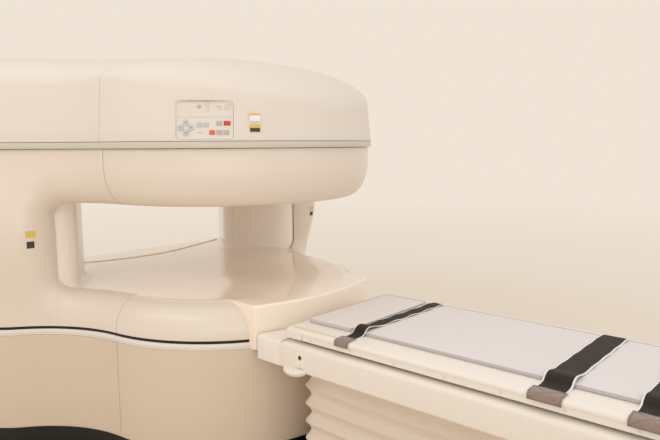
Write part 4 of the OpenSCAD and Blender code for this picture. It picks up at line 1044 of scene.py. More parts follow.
for i, nodeName in enumerate(padNames):
    x, y = padSpots[i]
    cap = prism("cap", circleOutline(padForm["d"] / 2, 48),
                [(-9, 0), (1.6, 0), (2.4, 0.25), (2.9, 0.9), (3.0, 1.8), (2.75, 4.5), (2.6, 8)],
                panelMatrix(x, y))
    mark = arrowMark(panelMatrix(x, y, 2.5), padForm["arrow"], (0, 180, 90, -90)[i])
    markedButton("padButton" + nodeName.split("_")[0].capitalize(), nodeName, cap, mark,
                 [buttonGrey, markLilac if i < 2 else markGreen])
keyPaint = {"grey": buttonBeige, "red": buttonRed, "orange": buttonOrange, "beige": buttonBeige}
for (x, y, w), nodeName in zip(keySpots, keyNames):
    words = nodeName.split("_")
    cap = prism("cap", roundedOutline(w, keyForm["h"], 2.2, 5),
                [(-9, 0), (1.9, 0), (2.5, 0.2), (2.9, 0.7), (3.0, 1.3)], panelMatrix(x, y))
    bar = prism("bar", roundedOutline(w * 0.5, keyForm["barH"], 0.7, 3), [(2.9, 0), (3.05, 0.1)],
                panelMatrix(x, y))
    markedButton("keyButton" + "".join(p.capitalize() for p in words[:1] + words[2:]), nodeName,
                 cap, bar,
                 [keyPaint.get(words[0], buttonGrey), printGrey])


# indicator lamp, divider line and plain printed outlines
lampBody = prism("lampRing", circleOutline(8, 40),
                 [(-1, 0), (0.8, 0), (1.6, 0.6), (1.8, 1.8), (0.9, 2.6), (0.9, 4)],
                 panelMatrix(-20.7, 56.3))
dress(lampBody, "gantry", [lampGrey], angle=30)


printForm = {"line": 0.8, "low": 0.03, "thick": 0.1}
# middle, size and corner of each printed outline
printBoxes = ((14, 49, 7, 26, 1.5), (92, 57, 13, 13, 2), (105, 57, 9, 20, 2), (92, 46, 13, 7, 2),
              (60, 56, 22, 2.4, 1), (66, 48, 10, 8, 1.5), (-20, -52, 26, 2.2, 1))
shieldOutline = [(0, -9), (8, -2), (11, 3), (8, 8), (3, 8), (0, 5), (-3, 8), (-8, 8), (-11, 3), (-8, -2)]


def printedLines():
    z = printForm["low"]
    parts = [prism("divider", [(-111, 12.2), (111, 12.2), (111, 13.3), (-111, 13.3)],
                   [(z, 0), (z + printForm["thick"], 0)], panelPlace)]
    parts += [ringPlate(roundedOutline(w, h, r, 3), panelMatrix(x, y)) for x, y, w, h, r in printBoxes]
    parts.append(ringPlate(shieldOutline, panelMatrix(14, 66)))
    return joined(parts, "panelPrint")


def ringPlate(outline, place):
    # the line of a printed outline, a hair above the panel
    f = printForm
    arr, normal = outlineNormals(outline)
    inner, n = arr - f["line"] * normal, len(arr)
    rings = ((arr, 0), (arr, f["thick"]), (inner, f["thick"]), (inner, 0))
    points = [(p[0], p[1], f["low"] + up) for line, up in rings for p in line]
    obj = newMesh("print", points, gridFaces(4, n, wrap=True) + [face[::-1] for face in ringClosure(3, n)])
    obj.data.transform(place)
    return closeUp(obj)


dress(printedLines(), "gantry", printGrey, angle=30)
print("control panel")

# plain colour fields where the photo has labels, without any words or signs
labelForm = {"thick": 0.4, "turn": 30.2, "cols": 8}
labelOut = trims["bandOut"] - topForm["crestIn"] * 0.15
# middle's height, width, height, distance from the cover and paint of the near fields
labelFields = {"labelUpper": (1592, 44, 34, 0.2, labelWhite),
               "labelUpperBar": (1604, 44, 8, 0.5, labelYellow),
               "labelLower": (1545, 44, 32, 0.2, labelYellow),
               "labelLowerBar": (1539, 40, 16, 0.5, labelDark)}


def sticker(name, z, w, h, out, material):
    # a flat field that follows the upper cover on the near side
    f, points = labelForm, []
    for dz in (-h / 2, h / 2):
        for t in steps(f["cols"]):
            ds = (t - 0.5) * w / (math.radians(waistA) * poleR)
            points.append(onPlan(-f["turn"] / waistA + ds, labelOut + out, z + dz))
    obj = newMesh(name, points, gridFaces(2, f["cols"] + 1))
    cleanOpen(obj, (0, 0, z))
    return dress(closeUp(thicken(obj, f["thick"], even=False, offset=1)), "gantry", material)


for name, field in labelFields.items():
    sticker(name, *field)


def labelSpot(name, target, near, w, h, material):
    # a flat field on the nearest spot of a cover
    place, normal = target.closest_point_on_mesh(Vector(near) / 1000)[1:3]
    across = Vector((0, 0, 1)).cross(normal).normalized()
    turn = Matrix((across, normal.cross(across), normal)).transposed().to_4x4()
    field = prism(name, roundedOutline(w, h, 1.5, 3), [(-0.4, 0), (0.6, 0), (0.7, 0.15)],
                  Matrix.Translation(place) @ turn)
    return dress(field, "gantry", material)


for name, target, near, w, h, paint in (("labelNearHigh", sideLeft, (-263, -953, 1071), 44, 30, labelYellow),
                                        ("labelNearLow", sideLeft, (-265, -955, 1021), 34, 32, labelDark),
                                        ("labelFarHigh", sideRight, (-266, 963, 1037), 40, 24, labelYellow),
                                        ("labelFarLow", sideRight, (-267, 964, 1000), 36, 28, labelDark)):
    labelSpot(name, target, near, w, h, paint)
for name, w, h, thick, place, paint in (("labelHeadBar", 232, 7, 0.3, (0.968, -0.352, 0.7083), labelYellow),
                                        ("labelHead", 190, 14, 0.25, (0.968, -0.364, 0.7080), labelWhite)):
    field = prism(name, roundedOutline(w, h, 1, 3), [(0, 0), (thick, 0.2)], Matrix.Translation(place))
    dress(field, "tabletop", paint)
print("plain label fields")

# patient table: frame, dock block, tabletop and its screw caps; the rails are carried over from the frame
tableForm = {"x0": 820.3, "x1": 3050, "halfW": 410, "z0": 540, "z1": 652, "topR": 20, "lowR": 10,
             "headR": 1.0, "footR": 70, "headEdge": 0.8, "dockR": 9, "dockGap": 12, "dockEnd": 818.9,
             "liftX": 1.648, "hatch": 150, "boreR": 10.4}
boardForm = {"x0": 824, "x1": 3040, "halfW": 380, "z0": 664.3, "z1": 708.3, "stripH": 25, "stripIn": 5,
             "edgeR": 12, "headR": 16, "footR": 40, "capL": 95, "capPitch": 209, "capR": 6, "capFrom": 50}
socketForm = {"x": 940, "z": 605, "y": -410, "plateR": 25, "drop": 50, "plateCorner": 3, "barrelR": 10,
              "seatR": 10.05, "boreR": 6, "dotR": 2.2, "restR": 60, "restT": 34, "restX": 915, "restRows": 8,
              "restCols": 24, "restEdge": 3.0}
socketAt = Matrix.Translation([socketForm[k] / 1000 for k in "xyz"])
socketPlace = socketAt @ Matrix.Rotation(math.radians(90), 4, "X")


def slabRing(x0, x1, halfW, headR, footR, inset, z, count):
    # a level outline of a slab, drawn in by the inset
    points = []
    for cx, cy, r, a in ((x1, halfW, footR, 0), (x0, halfW, headR, 90), (x0, -halfW, headR, 180),
                         (x1, -halfW, footR, 270)):
        rr = max(r - inset, 0.4)
        px = cx - inset - rr if cx == x1 else cx + inset + rr
        py = cy - inset - rr if cy > 0 else cy + inset + rr
        for t in steps(count):
            u = unit(a + 90 * t)
            points.append((px + rr * u[0], py + rr * u[1], z))
    return points


def stackRings(name, rings):
    n = len(rings[0])
    points = [p for ring in rings for p in ring]
    return closeUp(newMesh(name, points, gridFaces(len(rings), n, wrap=True) + endCaps(len(rings), n)))


def slab(name, x0, x1, halfW, headR, footR, rows, count=8):
    return stackRings(name, [slabRing(x0, x1, halfW, headR, footR, i, z, count) for z, i in rows])


def edgeRows(z0, z1, lowR, highR, count=5):
    # (height, inset) rows of a slab with rounded lower and upper edges
    rows = [(z0 + lowR * (1 - math.cos(math.radians(90 * t))), lowR * (1 - math.sin(math.radians(90 * t))))
            for t in steps(count)]
    rows += [(z1 - highR * (1 - math.sin(math.radians(90 * t))), highR * (1 - math.cos(math.radians(90 * t))))
             for t in steps(count)]
    return rows


tableRows = edgeRows(tableForm["z0"], tableForm["z1"], tableForm["lowR"], tableForm["topR"])


def makeTableFrame():
    # hollow under the lift, where the bellows' top flange sits, and bored for the coil socket
    f = tableForm
    obj = slab("tableFrame", f["x0"], f["x1"], f["halfW"], f["headR"], f["footR"], tableRows, 10)
    softenEdges(obj, f["headEdge"], sharper=60)
    cutOut(obj, prism("hatch", roundedOutline(f["hatch"], f["hatch"], 8),
                      [(f["z0"] - 10, 0), (f["z0"] + 8, 0)],
                      Matrix.Translation((f["liftX"], 0, 0))))
    return closeUp(cutOut(obj, prism("bore", circleOutline(f["boreR"], 40), [(-5, 0), (31, 0)],
                                     socketAt @ Matrix.Rotation(math.radians(-90), 4, "X"))))


def dockRing(inset, z):
    f = tableForm
    hw, rc = f["halfW"] - inset, f["dockR"]
    cx, big = deckForm["noseFront"] - deckForm["noseR"], deckForm["noseR"] + f["dockGap"]
    corner = (cx + math.sqrt((big + rc) ** 2 - (hw - rc) ** 2), hw - rc)
    theta = math.degrees(math.asin((hw - rc) / (big + rc)))
    curve = [(cx + big * unit(a)[0], big * unit(a)[1]) for a in (lerp(-theta, theta, t) for t in steps(40))]
    arcUp = [(corner[0] + rc * unit(a)[0], corner[1] + rc * unit(a)[1])
             for a in (lerp(180 + theta, 90, t) for t in steps(8))]
    side = [(lerp(corner[0], f["dockEnd"], t), hw) for t in (0.3, 0.6, 1)]
    half = arcUp[1:] + side + [(f["dockEnd"] + 0.8, hw - 0.8)]
    ring = curve + half + [(x, -y) for x, y in reversed(half)]
    return [(x, y, z) for x, y in ring]


def makeBoard():
    # a core between the edge strips, the head's end cap and the wider slab over both
    b = boardForm
    low, neck, capEnd = b["z0"], b["z0"] + b["stripH"], b["x0"] + b["capL"]
    core = slab("core", capEnd + 0.8, b["x1"], b["halfW"] - b["stripIn"], 1, b["footR"] - 5,
                [(low, 1.2), (low + 1.2, 0), (neck + 1, 0)])
    cap = slab("cap", b["x0"], capEnd, b["halfW"], b["headR"], 1,
               [(low, 3), (low + 0.9, 0.9), (low + 3, 0), (neck + 1, 0)])
    upper = slab("upper", b["x0"], b["x1"], b["halfW"], b["headR"], b["footR"],
                 [(neck, 2.2), (neck + 0.5, 0.8)] + edgeRows(neck + 1.4, b["z1"], 0.9, b["edgeR"])[5:])
    return joined([core, cap, upper], "tabletopBoard")


dress(makeTableFrame(), "table", frameWhite, ["table_frame"], angle=30)
dock = stackRings("dockBlock", [dockRing(i, z) for z, i in tableRows])
dress(dock, "table", tableWhite, ["dock_block"], angle=35)
dress(makeBoard(), "tabletop", tableWhite, ["tabletop"], angle=30)


def newTree(name, inputs):
    # a geometry tree with the given inputs
    tree = bpy.data.node_groups.new(name, "GeometryNodeTree")
    for label, kind in inputs.items():
        tree.interface.new_socket(name=label, in_out="INPUT", socket_type="NodeSocket" + kind)
    tree.interface.new_socket(name="Geometry", in_out="OUTPUT", socket_type="NodeSocketGeometry")
    return tree, tree.nodes.new("NodeGroupInput").outputs


def paintCopies(tree, start, feeds):
    # copies of a form on points, made real, painted and put out
    copies = fed(tree, "GeometryNodeInstanceOnPoints", feeds).outputs["Instances"]
    real = fed(tree, "GeometryNodeRealizeInstances", {"Geometry": copies}).outputs["Geometry"]
    paint = fed(tree, "GeometryNodeSetMaterial", {"Geometry": real, "Material": start["Material"]})
    fed(tree, "NodeGroupOutput", {"Geometry": paint.outputs["Geometry"]})
    return tree


def capRow():
    # a row of turned caps: number, spacing, radius and thickness are the inputs
    tree, start = newTree("capRow", {"Count": "Int", "Pitch": "Float", "Radius": "Float", "Height": "Float",
                                     "Start": "Vector", "Turn": "Vector", "Material": "Material"})
    step = fed(tree, "ShaderNodeCombineXYZ", {"X": start["Pitch"]})
    line = fed(tree, "GeometryNodeMeshLine", {"Count": start["Count"], "Start Location": start["Start"],
                                              "Offset": step.outputs[0]})
    both = tree.nodes.new("GeometryNodeJoinGeometry")
    for narrow, tall in ((1, 1), (0.82, 1.5)):
        disc = fed(tree, "GeometryNodeMeshCylinder",
                   {"Radius": math2(tree, "MULTIPLY", start["Radius"], narrow),
                    "Depth": math2(tree, "MULTIPLY", start["Height"], tall)}, Vertices=20)
        tree.links.new(disc.outputs["Mesh"], both.inputs[0])
    return paintCopies(tree, start, {"Points": line.outputs["Mesh"], "Instance": both.outputs[0],
                                     "Rotation": start["Turn"]})


def runTree(name, tree, values, points=((0, 0, 0),), edges=()):
    # run a node tree on points and edges and keep the result as a plain mesh
    obj = newMesh(name, points, [], edges)
    maker = obj.modifiers.new("maker", "NODES")
    maker.node_group = tree
    for item in tree.interface.items_tree:
        if item.in_out == "INPUT" and item.name in values:
            maker[item.identifier] = values[item.name]
    return bake(obj)


def screwCaps():
    b, tree, caps = boardForm, capRow(), []
    first = b["x0"] + b["capL"]
    for side in (-1, 1):
        place = (first + b["capFrom"], side * (b["halfW"] - b["stripIn"] + 0.4), b["z0"] + b["stripH"] / 2)
        caps.append(runTree("caps", tree, {
            "Count": int((b["x1"] - first - 60) // b["capPitch"]) + 1, "Pitch": b["capPitch"] / 1000,
            "Radius": b["capR"] / 1000, "Height": 0.0006, "Start": tuple(c / 1000 for c in place),
            "Turn": (math.pi / 2, 0.0, 0.0), "Material": capIvory}))
    return joined(caps, "screwCaps")


dress(screwCaps(), "tabletop", capIvory)
print("table frame, dock block, tabletop")


# coil socket: keyhole recess plate, brass barrel and the half-round rest
def keyholeOutline():
    f = socketForm
    r, low, c = f["plateR"], f["drop"], f["plateCorner"]
    turns = [unit(a) for a in (0, 30, 60, 90)]
    return ([tuple(r * unit(a)) for a in range(0, 181, 10)]
            + [(-r + c - c * u[0], -low + c - c * u[1]) for u in turns]
            + [(r - c + c * u[1], -low + c - c * u[0]) for u in turns])


def bored(piece, r, count):
    tool = prism("tool", circleOutline(r, count), [(-30, 0), (9, 0)], socketPlace)
    return closeUp(cutOut(piece, tool))


def cableRest():
    # half of a flattened ball, cut off level with the frame's side
    f, points = socketForm, []
    for k in range(f["restRows"] + 1):
        a = math.radians(90 * k / f["restRows"])
        r, z = f["restR"] * math.cos(a), -f["restT"] * math.sin(a)
        for j in range(f["restCols"] + 1):
            u = unit(180 + 180 * j / f["restCols"])
            points.append((f["restX"] + r * u[0], f["y"] + 10 + r * u[1], f["z"] - f["drop"] + z))
    rest = newMesh("cableRest", points, gridFaces(f["restRows"] + 1, f["restCols"] + 1))
    with editing(rest) as bm:
        bmesh.ops.remove_doubles(bm, verts=bm.verts, dist=1e-5)
        bmesh.ops.holes_fill(bm, edges=[e for e in bm.edges if e.is_boundary], sides=0)
        bmesh.ops.bisect_plane(bm, geom=bm.verts[:] + bm.edges[:] + bm.faces[:], clear_outer=True,
                               plane_co=(0, (f["y"] - 0.05) / 1000, 0), plane_no=(0, 1, 0))
        bmesh.ops.holes_fill(bm, edges=[e for e in bm.edges if e.is_boundary], sides=0)
    closeUp(rest)
    return softenEdges(rest, f["restEdge"], segments=3, sharper=55, keep=lambda m: m.y > f["y"] - 1)


plateRows = [(0, 0), (1.4, 0), (2, 0.6), (2, 3), (1.2, 4), (1.2, 6)]
barrelRows = [(-27, 0), (1.2, 0), (2.6, 0.5), (3, 1.4), (3, 3)]
plate = bored(prism("keyholePlate", keyholeOutline(), plateRows, socketPlace), socketForm["seatR"], 48)
barrel = bored(prism("barrel", circleOutline(socketForm["barrelR"], 48), barrelRows, socketPlace),
               socketForm["boreR"], 32)
dot = prism("dot", circleOutline(socketForm["dotR"], 16), [(1.2, 0), (2.0, 0.5)],
            socketPlace @ Matrix.Translation((0, -0.031, 0)))
dress(joined([plate, cableRest()], "socketPlate"), "table", tableWhite, angle=30)
dress(barrel, "table", brass, ["coil_socket"], angle=30)
dress(dot, "table", brass)
print("coil socket")

# bellows: pleated cloth between the table and its tray
bellowsForm = {"x0": 888, "length": 1520, "halfW": 362, "z0": 70, "z1": 540, "folds": 6, "depth": 25,
               "corner": 60, "rows": 14, "cols": 300, "wall": 1.6, "sag": 15, "ripple": 2.4,
               "sink": 1.5}


def bellowsPoint(u, v):
    # u runs round the box, v from the tray up to the frame
    p = bellowsForm
    hx, hy, r = p["length"] / 2, p["halfW"], p["corner"]
    sides = [2 * (hx - r), math.pi * r / 2, 2 * (hy - r), math.pi * r / 2] * 2
    total = sum(sides)
    d = u * total
    index = 0
    while d > sides[index] and index < 7:
        d -= sides[index]
        index += 1
    t = d / sides[index]
    corners = [(1, -1), (1, 1), (-1, 1), (-1, -1)]
    if index == 0:
        x, y, n, span = lerp(-(hx - r), hx - r, t), -hy, (0, -1), sides[0]
    elif index == 2:
        x, y, n, span = hx, lerp(-(hy - r), hy - r, t), (1, 0), sides[2]
    elif index == 4:
        x, y, n, span = lerp(hx - r, -(hx - r), t), hy, (0, 1), sides[4]
    elif index == 6:
        x, y, n, span = -hx, lerp(hy - r, -(hy - r), t), (-1, 0), sides[6]
    else:
        c = corners[(index - 1) // 2]
        a = (-90, 0, 90, 180)[(index - 1) // 2] + 90 * t
        m = unit(a)
        x, y, n, span = c[0] * (hx - r) + r * m[0], c[1] * (hy - r) + r * m[1], tuple(m), 0
    fold = v * p["folds"]
    phase = fold - math.floor(fold)
    crest = abs(2 * phase - 1)                      # 1 at a fold's rim, 0 in its valley
    out = -p["depth"] * (1 - crest ** 1.5)
    belly = math.sin(math.pi * t) if span else 0.0  # the cloth hangs between the corners
    ripple = math.sin(x * 0.012 + fold * 2.1) * math.sin(y * 0.017 + fold * 1.3 + x * 0.004)
    end = min(v * 6, (1 - v) * 6, 1)
    drop = p["sag"] * belly ** 0.7 * (0.35 + 0.65 * (1 - crest)) * end
    out += (p["ripple"] * ripple * (1 - crest * 0.6) - p["sink"] * belly * (1 - crest)) * end
    out = min(out, 0.5)
    z = lerp(p["z0"] + 0.5, p["z1"] - 0.5, v) - drop
    return (p["x0"] + hx + x + out * n[0], y + out * n[1], z)


def makeBellows():
    p = bellowsForm
    rows, cols = p["folds"] * p["rows"], p["cols"]
    points = [bellowsPoint(j / cols, i / rows) for i in range(rows + 1) for j in range(cols)]
    obj = newMesh("liftBellows", points, gridFaces(rows + 1, cols, wrap=True))
    cleanOpen(obj, (1648, 0, 300))
    thicken(obj, p["wall"])
    return closeUp(obj)


bellows = dress(makeBellows(), None, bellowsCloth, ["bellows"], angle=60)
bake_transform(bellows)
print("bellows")

# mats: coated foam pads, filled out by a cloth simulation
matForm = {"z": 708.8, "y0": -265, "y1": 315, "corner": 20, "headX": (846, 1096), "mainX": (1099, 3010),
           "headT": 18, "mainT": 16, "cell": 10, "inset": 2.5, "cap": 2.6, "pressure": 4.0, "piping": 2.1,
           "room": 3.2, "topIn": 4.5, "fade": 45, "weltDown": 4.0, "weltUp": 3.2, "weltIn": 1.4}


def padGrid(name, x0, x1, y0, y1, thick, cell):
    # a thin closed pad of square cells with rounded corners
    nx, ny = int((x1 - x0) / cell), int((y1 - y0) / cell)
    r = matForm["corner"]

    def place(i, j):
        x, y = lerp(x0, x1, i / nx), lerp(y0, y1, j / ny)
        cx, cy = min(max(x, x0 + r), x1 - r), min(max(y, y0 + r), y1 - r)
        dx, dy = x - cx, y - cy
        if dx and dy:
            big, d = max(abs(dx), abs(dy)), math.hypot(dx, dy)
            return cx + dx * big / d, cy + dy * big / d
        return x, y

    bottom, top = matForm["z"], matForm["z"] + thick
    rim = ([(i, 0) for i in range(nx)] + [(nx, j) for j in range(ny)] + [(i, ny) for i in range(nx, 0, -1)]
           + [(0, j) for j in range(ny, 0, -1)])
    points, number = [], {}
    for layer, z in ((0, bottom), (1, top)):
        for i in range(nx + 1):
            for j in range(ny + 1):
                number[(layer, i, j)] = len(points)
                points.append(place(i, j) + (z,))
    middle = len(points)
    for i, j in rim:
        points.append(place(i, j) + ((bottom + top) / 2,))
    faces = []
    for i in range(nx):
        for j in range(ny):
            a, b, c, d = [(i, j), (i + 1, j), (i + 1, j + 1), (i, j + 1)]
            faces.append([number[(1, *k)] for k in (a, b, c, d)])
            faces.append([number[(0, *k)] for k in (d, c, b, a)])
    n = len(rim)
    for k in range(n):
        a, b = rim[k], rim[(k + 1) % n]
        faces.append([number[(0, *a)], number[(0, *b)], middle + (k + 1) % n, middle + k])
        faces.append([middle + k, middle + (k + 1) % n, number[(1, *b)], number[(1, *a)]])
    return closeUp(newMesh(name, points, faces))


def puff(obj, pressure, cap, frames=20):
    # pressure fills the pad; no point moves further than the cap, and the underside stays on the board
    rest = [v.co.copy() for v in obj.data.vertices]
    cloth = obj.modifiers.new("fill", "CLOTH")
    cloth.settings.quality = 4
    cloth.settings.mass = 0.3
    cloth.settings.use_pressure = True
    cloth.settings.uniform_pressure_force = pressure
    cloth.settings.effector_weights.gravity = 0
    cloth.collision_settings.use_collision = False
    for number in range(1, frames + 1):
        scene.frame_set(number)
    bake(obj)
    scene.frame_set(1)
    low = min(p.z for p in rest)
    for v, start in zip(obj.data.vertices, rest):
        move = v.co - start
        if move.length > cap / 1000:
            v.co = start + move.normalized() * cap / 1000
        v.co.z = max(v.co.z, low)
    return obj


def creaseHeight(x, y, box, seed):
    # long shallow creases and soft unevenness in the cover
    rng = np.random.default_rng(seed)
    h = 0.0
    for k in range(9):
        cx, cy = rng.uniform(*box[0]), rng.uniform(*box[1])
        turn, length = rng.uniform(-30, 45), rng.uniform(90, 260)
        width, deep = rng.uniform(7, 16), rng.uniform(-1.7, 1.2)
        u = unit(turn)
        a, b = (x - cx) * u[0] + (y - cy) * u[1], -(x - cx) * u[1] + (y - cy) * u[0]
        b = b - 0.0012 * a * a / 2
        h = h + deep * np.exp(-(a / length) ** 4) * np.exp(-(b / width) ** 2)
    return h + 0.5 * np.sin(x * 0.021 + 1.3 * seed) * np.sin(y * 0.027 + seed)


def makeMat(name, span, thick, seed, material, nodeName):
    f, i = matForm, matForm["inset"]
    creased = (span, (-230, 280))
    obj = padGrid(name, span[0] + i, span[1] - i, f["y0"] + i, f["y1"] - i, thick - f["room"], f["cell"])
    puff(obj, f["pressure"], f["cap"])
    finer = obj.modifiers.new("finer", "SUBSURF")
    finer.levels = finer.render_levels = 1
    bake(obj)
    points = np.array([v.co for v in obj.data.vertices]) * 1000
    high = f["z"] + thick - f["topIn"]
    dx = np.minimum(points[:, 0] - span[0], span[1] - points[:, 0])
    dy = np.minimum(points[:, 1] - f["y0"], f["y1"] - points[:, 1])
    inner = np.clip(np.minimum(dx, dy) / f["fade"], 0, 1)
    top = points[:, 2] > high - 4
    points[:, 2] += np.where(top, creaseHeight(points[:, 0], points[:, 1], creased, seed) * inner, 0)
    points[:, 2] = np.clip(points[:, 2], f["z"], f["z"] + thick)
    obj.data.vertices.foreach_set("co", (points / 1000).ravel())
    obj.data.update()
    closeUp(obj)
    dress(obj, "tabletop", material, [nodeName], angle=70)
    pipes = []
    for z in (f["z"] + thick - f["weltDown"], f["z"] + f["weltUp"]):
        w, h = span[1] - span[0] - 2 * f["weltIn"], f["y1"] - f["y0"] - 2 * f["weltIn"]
        outline = [(span[0] + f["weltIn"] + x + w / 2, (f["y0"] + f["y1"]) / 2 + y)
                   for x, y in roundedOutline(w, h, f["corner"], 6)]
        pipes.append(ringTube("pipe", outline, f["piping"], z))
    dress(joined(pipes, name + "Piping"), "tabletop", pipingCloth, angle=80)
    return obj


def ringTube(name, outline, radius, z, around=8):
    # a welt along a closed outline
    arr, fine = np.array(outline, float), []
    for a, b in zip(arr, np.roll(arr, -1, axis=0)):
        cuts = max(int(np.linalg.norm(b - a) / 40), 1)
        fine += [lerp(a, b, k / cuts) for k in range(cuts)]
    arr, normal = outlineNormals(fine)
    points, n = [], len(arr)
    for k in range(around):
        u = unit(360 * k / around)
        points += [(*(p + radius * (u[0] - 1) * m), z + radius * u[1]) for p, m in zip(arr, normal)]
    return closeUp(newMesh(name, points, gridFaces(around, n, wrap=True) + ringClosure(around - 1, n)))


makeMat("headMat", matForm["headX"], matForm["headT"], 3, headCloth, "head_mat")
makeMat("mainMat", matForm["mainX"], matForm["mainT"], 5, matCloth, "main_mat")
print("mats")

# straps with their stitched wraps
strapForm = {"thick": 2.4, "edge": 3.6, "edgeY": 380.4, "lowZ": 691.5, "boardZ": 708.8, "roundR": 12.4,
             "matTop": 725.0, "nearMat": -265.5, "farMat": 313, "hump": 13, "wrapThick": 1.5, "wrapIn": 55,
             "wrapLow": 686.0, "heldL": 150, "loosenL": 60, "settleL": 40, "tipR": 14, "waveTurn": 0.052,
             "bow": 0.9, "seamIn": 5, "threadOut": 0.75, "wrapEdge": 0.5}
straps = {"strapHead": {"node": "strap_head", "x": 1107, "w": 60, "drift": 20, "wave": 2.4, "seed": 1},
          "strapBody": {"node": "strap_body", "x": 1900, "w": 100, "drift": 0, "wave": 1.3, "seed": 2},
          "strapFoot": {"node": "strap_foot", "x": 2195, "w": 100, "drift": 0, "wave": 1.3, "seed": 4}}


def strapLine(hump):
    # (y, z) of the strap's underside from the near edge to its free end past the mat's middle
    s = strapForm
    y0, r, top = -s["edgeY"], s["roundR"], s["boardZ"]
    line = [(y0, lerp(s["lowZ"], top - r, t)) for t in (0, 0.5, 1)]
    line += [(y0 + r + r * unit(a)[0], top - r + r * unit(a)[1]) for a in (157.5, 135, 112.5, 90)]
    line += [(lerp(y0 + r, s["nearMat"] - 22, t), top) for t in (0.3, 0.6, 0.85)]
    m, a = s["matTop"] + 0.5, s["nearMat"]
    line += [(a - 9, top + 5), (a + 1, lerp(top, m, 0.75) + 3), (a + 16, m + hump * 0.8), (a + 34, m + hump),
             (a + 56, m + hump * 0.55), (a + 80, m + hump * 0.12)]
    line += [(lerp(a + 104, s["farMat"] - 12, t), m) for t in steps(12)]
    line += [(s["farMat"], m - 0.6)]
    return line


def smoothLine(line, spacing=7.0):
    # Catmull-Rom through the points, at an even spacing
    pts = np.array(line)
    ends = np.vstack([2 * pts[0] - pts[1], pts, 2 * pts[-1] - pts[-2]])
    out = []
    for k in range(len(pts) - 1):
        p0, p1, p2, p3 = ends[k:k + 4]
        n = max(int(np.linalg.norm(p2 - p1) / spacing), 2)
        for t in np.arange(n) / n:
            out.append(0.5 * (2 * p1 + (p2 - p0) * t + (2 * p0 - 5 * p1 + 4 * p2 - p3) * t * t
                              + (3 * p1 - p0 - 3 * p2 + p3) * t ** 3))
    out.append(pts[-1])
    return np.array(out)


def lineNormals(line):
    tangent = np.gradient(line, axis=0)
    tangent /= np.linalg.norm(tangent, axis=1)[:, None]
    return np.stack([-tangent[:, 1], tangent[:, 0]], axis=1)


def lineLengths(line):
    return np.concatenate([[0], np.cumsum(np.linalg.norm(np.diff(line, axis=0), axis=1))])


def bandFaces(rows, cols):
    # a closed band from two sheets of points, the upper one first
    n = cols + 1
    count, last = rows * n, (rows - 1) * n
    faces = gridFaces(rows, n) + [tuple(reversed([q + count for q in face])) for face in gridFaces(rows, n)]
    for k in range(0, last, n):
        faces.append((k, k + n, count + k + n, count + k))
        faces.append((count + k + cols, count + k + n + cols, k + n + cols, k + cols))
    for j in range(cols):
        faces.append((j, count + j, count + j + 1, j + 1))
        faces.append((last + j + 1, count + last + j + 1, count + last + j, last + j))
    return faces


def ribbon(name, f, cols=14):
    s = strapForm
    line = smoothLine(strapLine(s["hump"] * (1.0 if f["w"] < 80 else 0.75)))
    normal, length = lineNormals(line), lineLengths(line)
    total, middle = length[-1], f["x"] + f["w"] / 2
    uppers, lowers = [], []
    for k in range(len(line)):
        free = ease((length[k] - s["heldL"]) / s["loosenL"]) * ease((total - length[k]) / s["settleL"])
        endIn = max(0.0, 1 - (total - length[k]) / s["tipR"])
        half = f["w"] / 2 - s["tipR"] * (1 - math.sqrt(max(1 - endIn ** 2, 0)))
        for side, store in ((1, uppers), (0, lowers)):
            for j in range(cols + 1):
                v = j / cols * 2 - 1
                v = math.copysign(abs(v) ** 0.8, v)
                x = middle + half * v + f["drift"] * ease(length[k] / total)
                wave = f["wave"] * free * ((0.35 + 0.65 * abs(v))
                                           * (1 + math.sin(length[k] * s["waveTurn"] + 2.2 * v + f["seed"]))
                                           * 0.9)
                y, z = line[k] + (wave + s["bow"] * free * (1 - v * v) + s["thick"] * side) * normal[k]
                store.append((x, y, z))
    obj = closeUp(newMesh(name, uppers + lowers, bandFaces(len(line), cols)))
    dress(obj, "tabletop", [strapCloth, bindingCloth], [f["node"]], angle=50)
    for p in obj.data.polygons:
        # the binding runs along both edges and round the free end
        c = p.center * 1000
        along = length[(abs(line[:, 0] - c.y) + abs(line[:, 1] - c.z)).argsort()[0]]
        drift = f["drift"] * ease(along / total)
        if abs(c.x - middle - drift) > f["w"] / 2 - s["edge"] - 1.5 or along > total - s["seamIn"]:
            p.material_index = 1


def wrapBand(name, f, cols=12):
    # the stitched wrap that holds a strap on the board's edge
    s = strapForm
    off = s["thick"] + 0.5
    y0, r, top = -s["edgeY"] - s["thick"] - 0.5, s["roundR"] + off, s["boardZ"] + off
    line = [(y0, lerp(s["wrapLow"], top - r, t)) for t in (0, 0.5, 1)]
    line += [(y0 + r + r * unit(a)[0], top - r + r * unit(a)[1]) for a in (165, 150, 135, 120, 105, 90)]
    line = np.array(line + [(lerp(y0 + r, y0 + s["wrapIn"], u), top) for u in (0.35, 0.7, 1)])
    normal, half, points = lineNormals(line), f["w"] / 2 + 5, []
    for side in (s["wrapThick"], 0):
        for k in range(len(line)):
            for j in range(cols + 1):
                v = j / cols * 2 - 1
                pucker = 0.35 * math.sin(9 * v + k) * (1 if side else 0)
                y, z = line[k] + (side + pucker + (0.5 * (1 - abs(v)) if side else 0)) * normal[k]
                points.append((f["x"] + f["w"] / 2 + half * v + 0.8 * math.sin(k * 1.7 + v), y, z))
    obj = closeUp(newMesh(name, points, bandFaces(len(line), cols)))
    softenEdges(obj, s["wrapEdge"], sharper=60)
    dress(obj, "tabletop", wrapCloth, angle=50)
    return line, normal, half


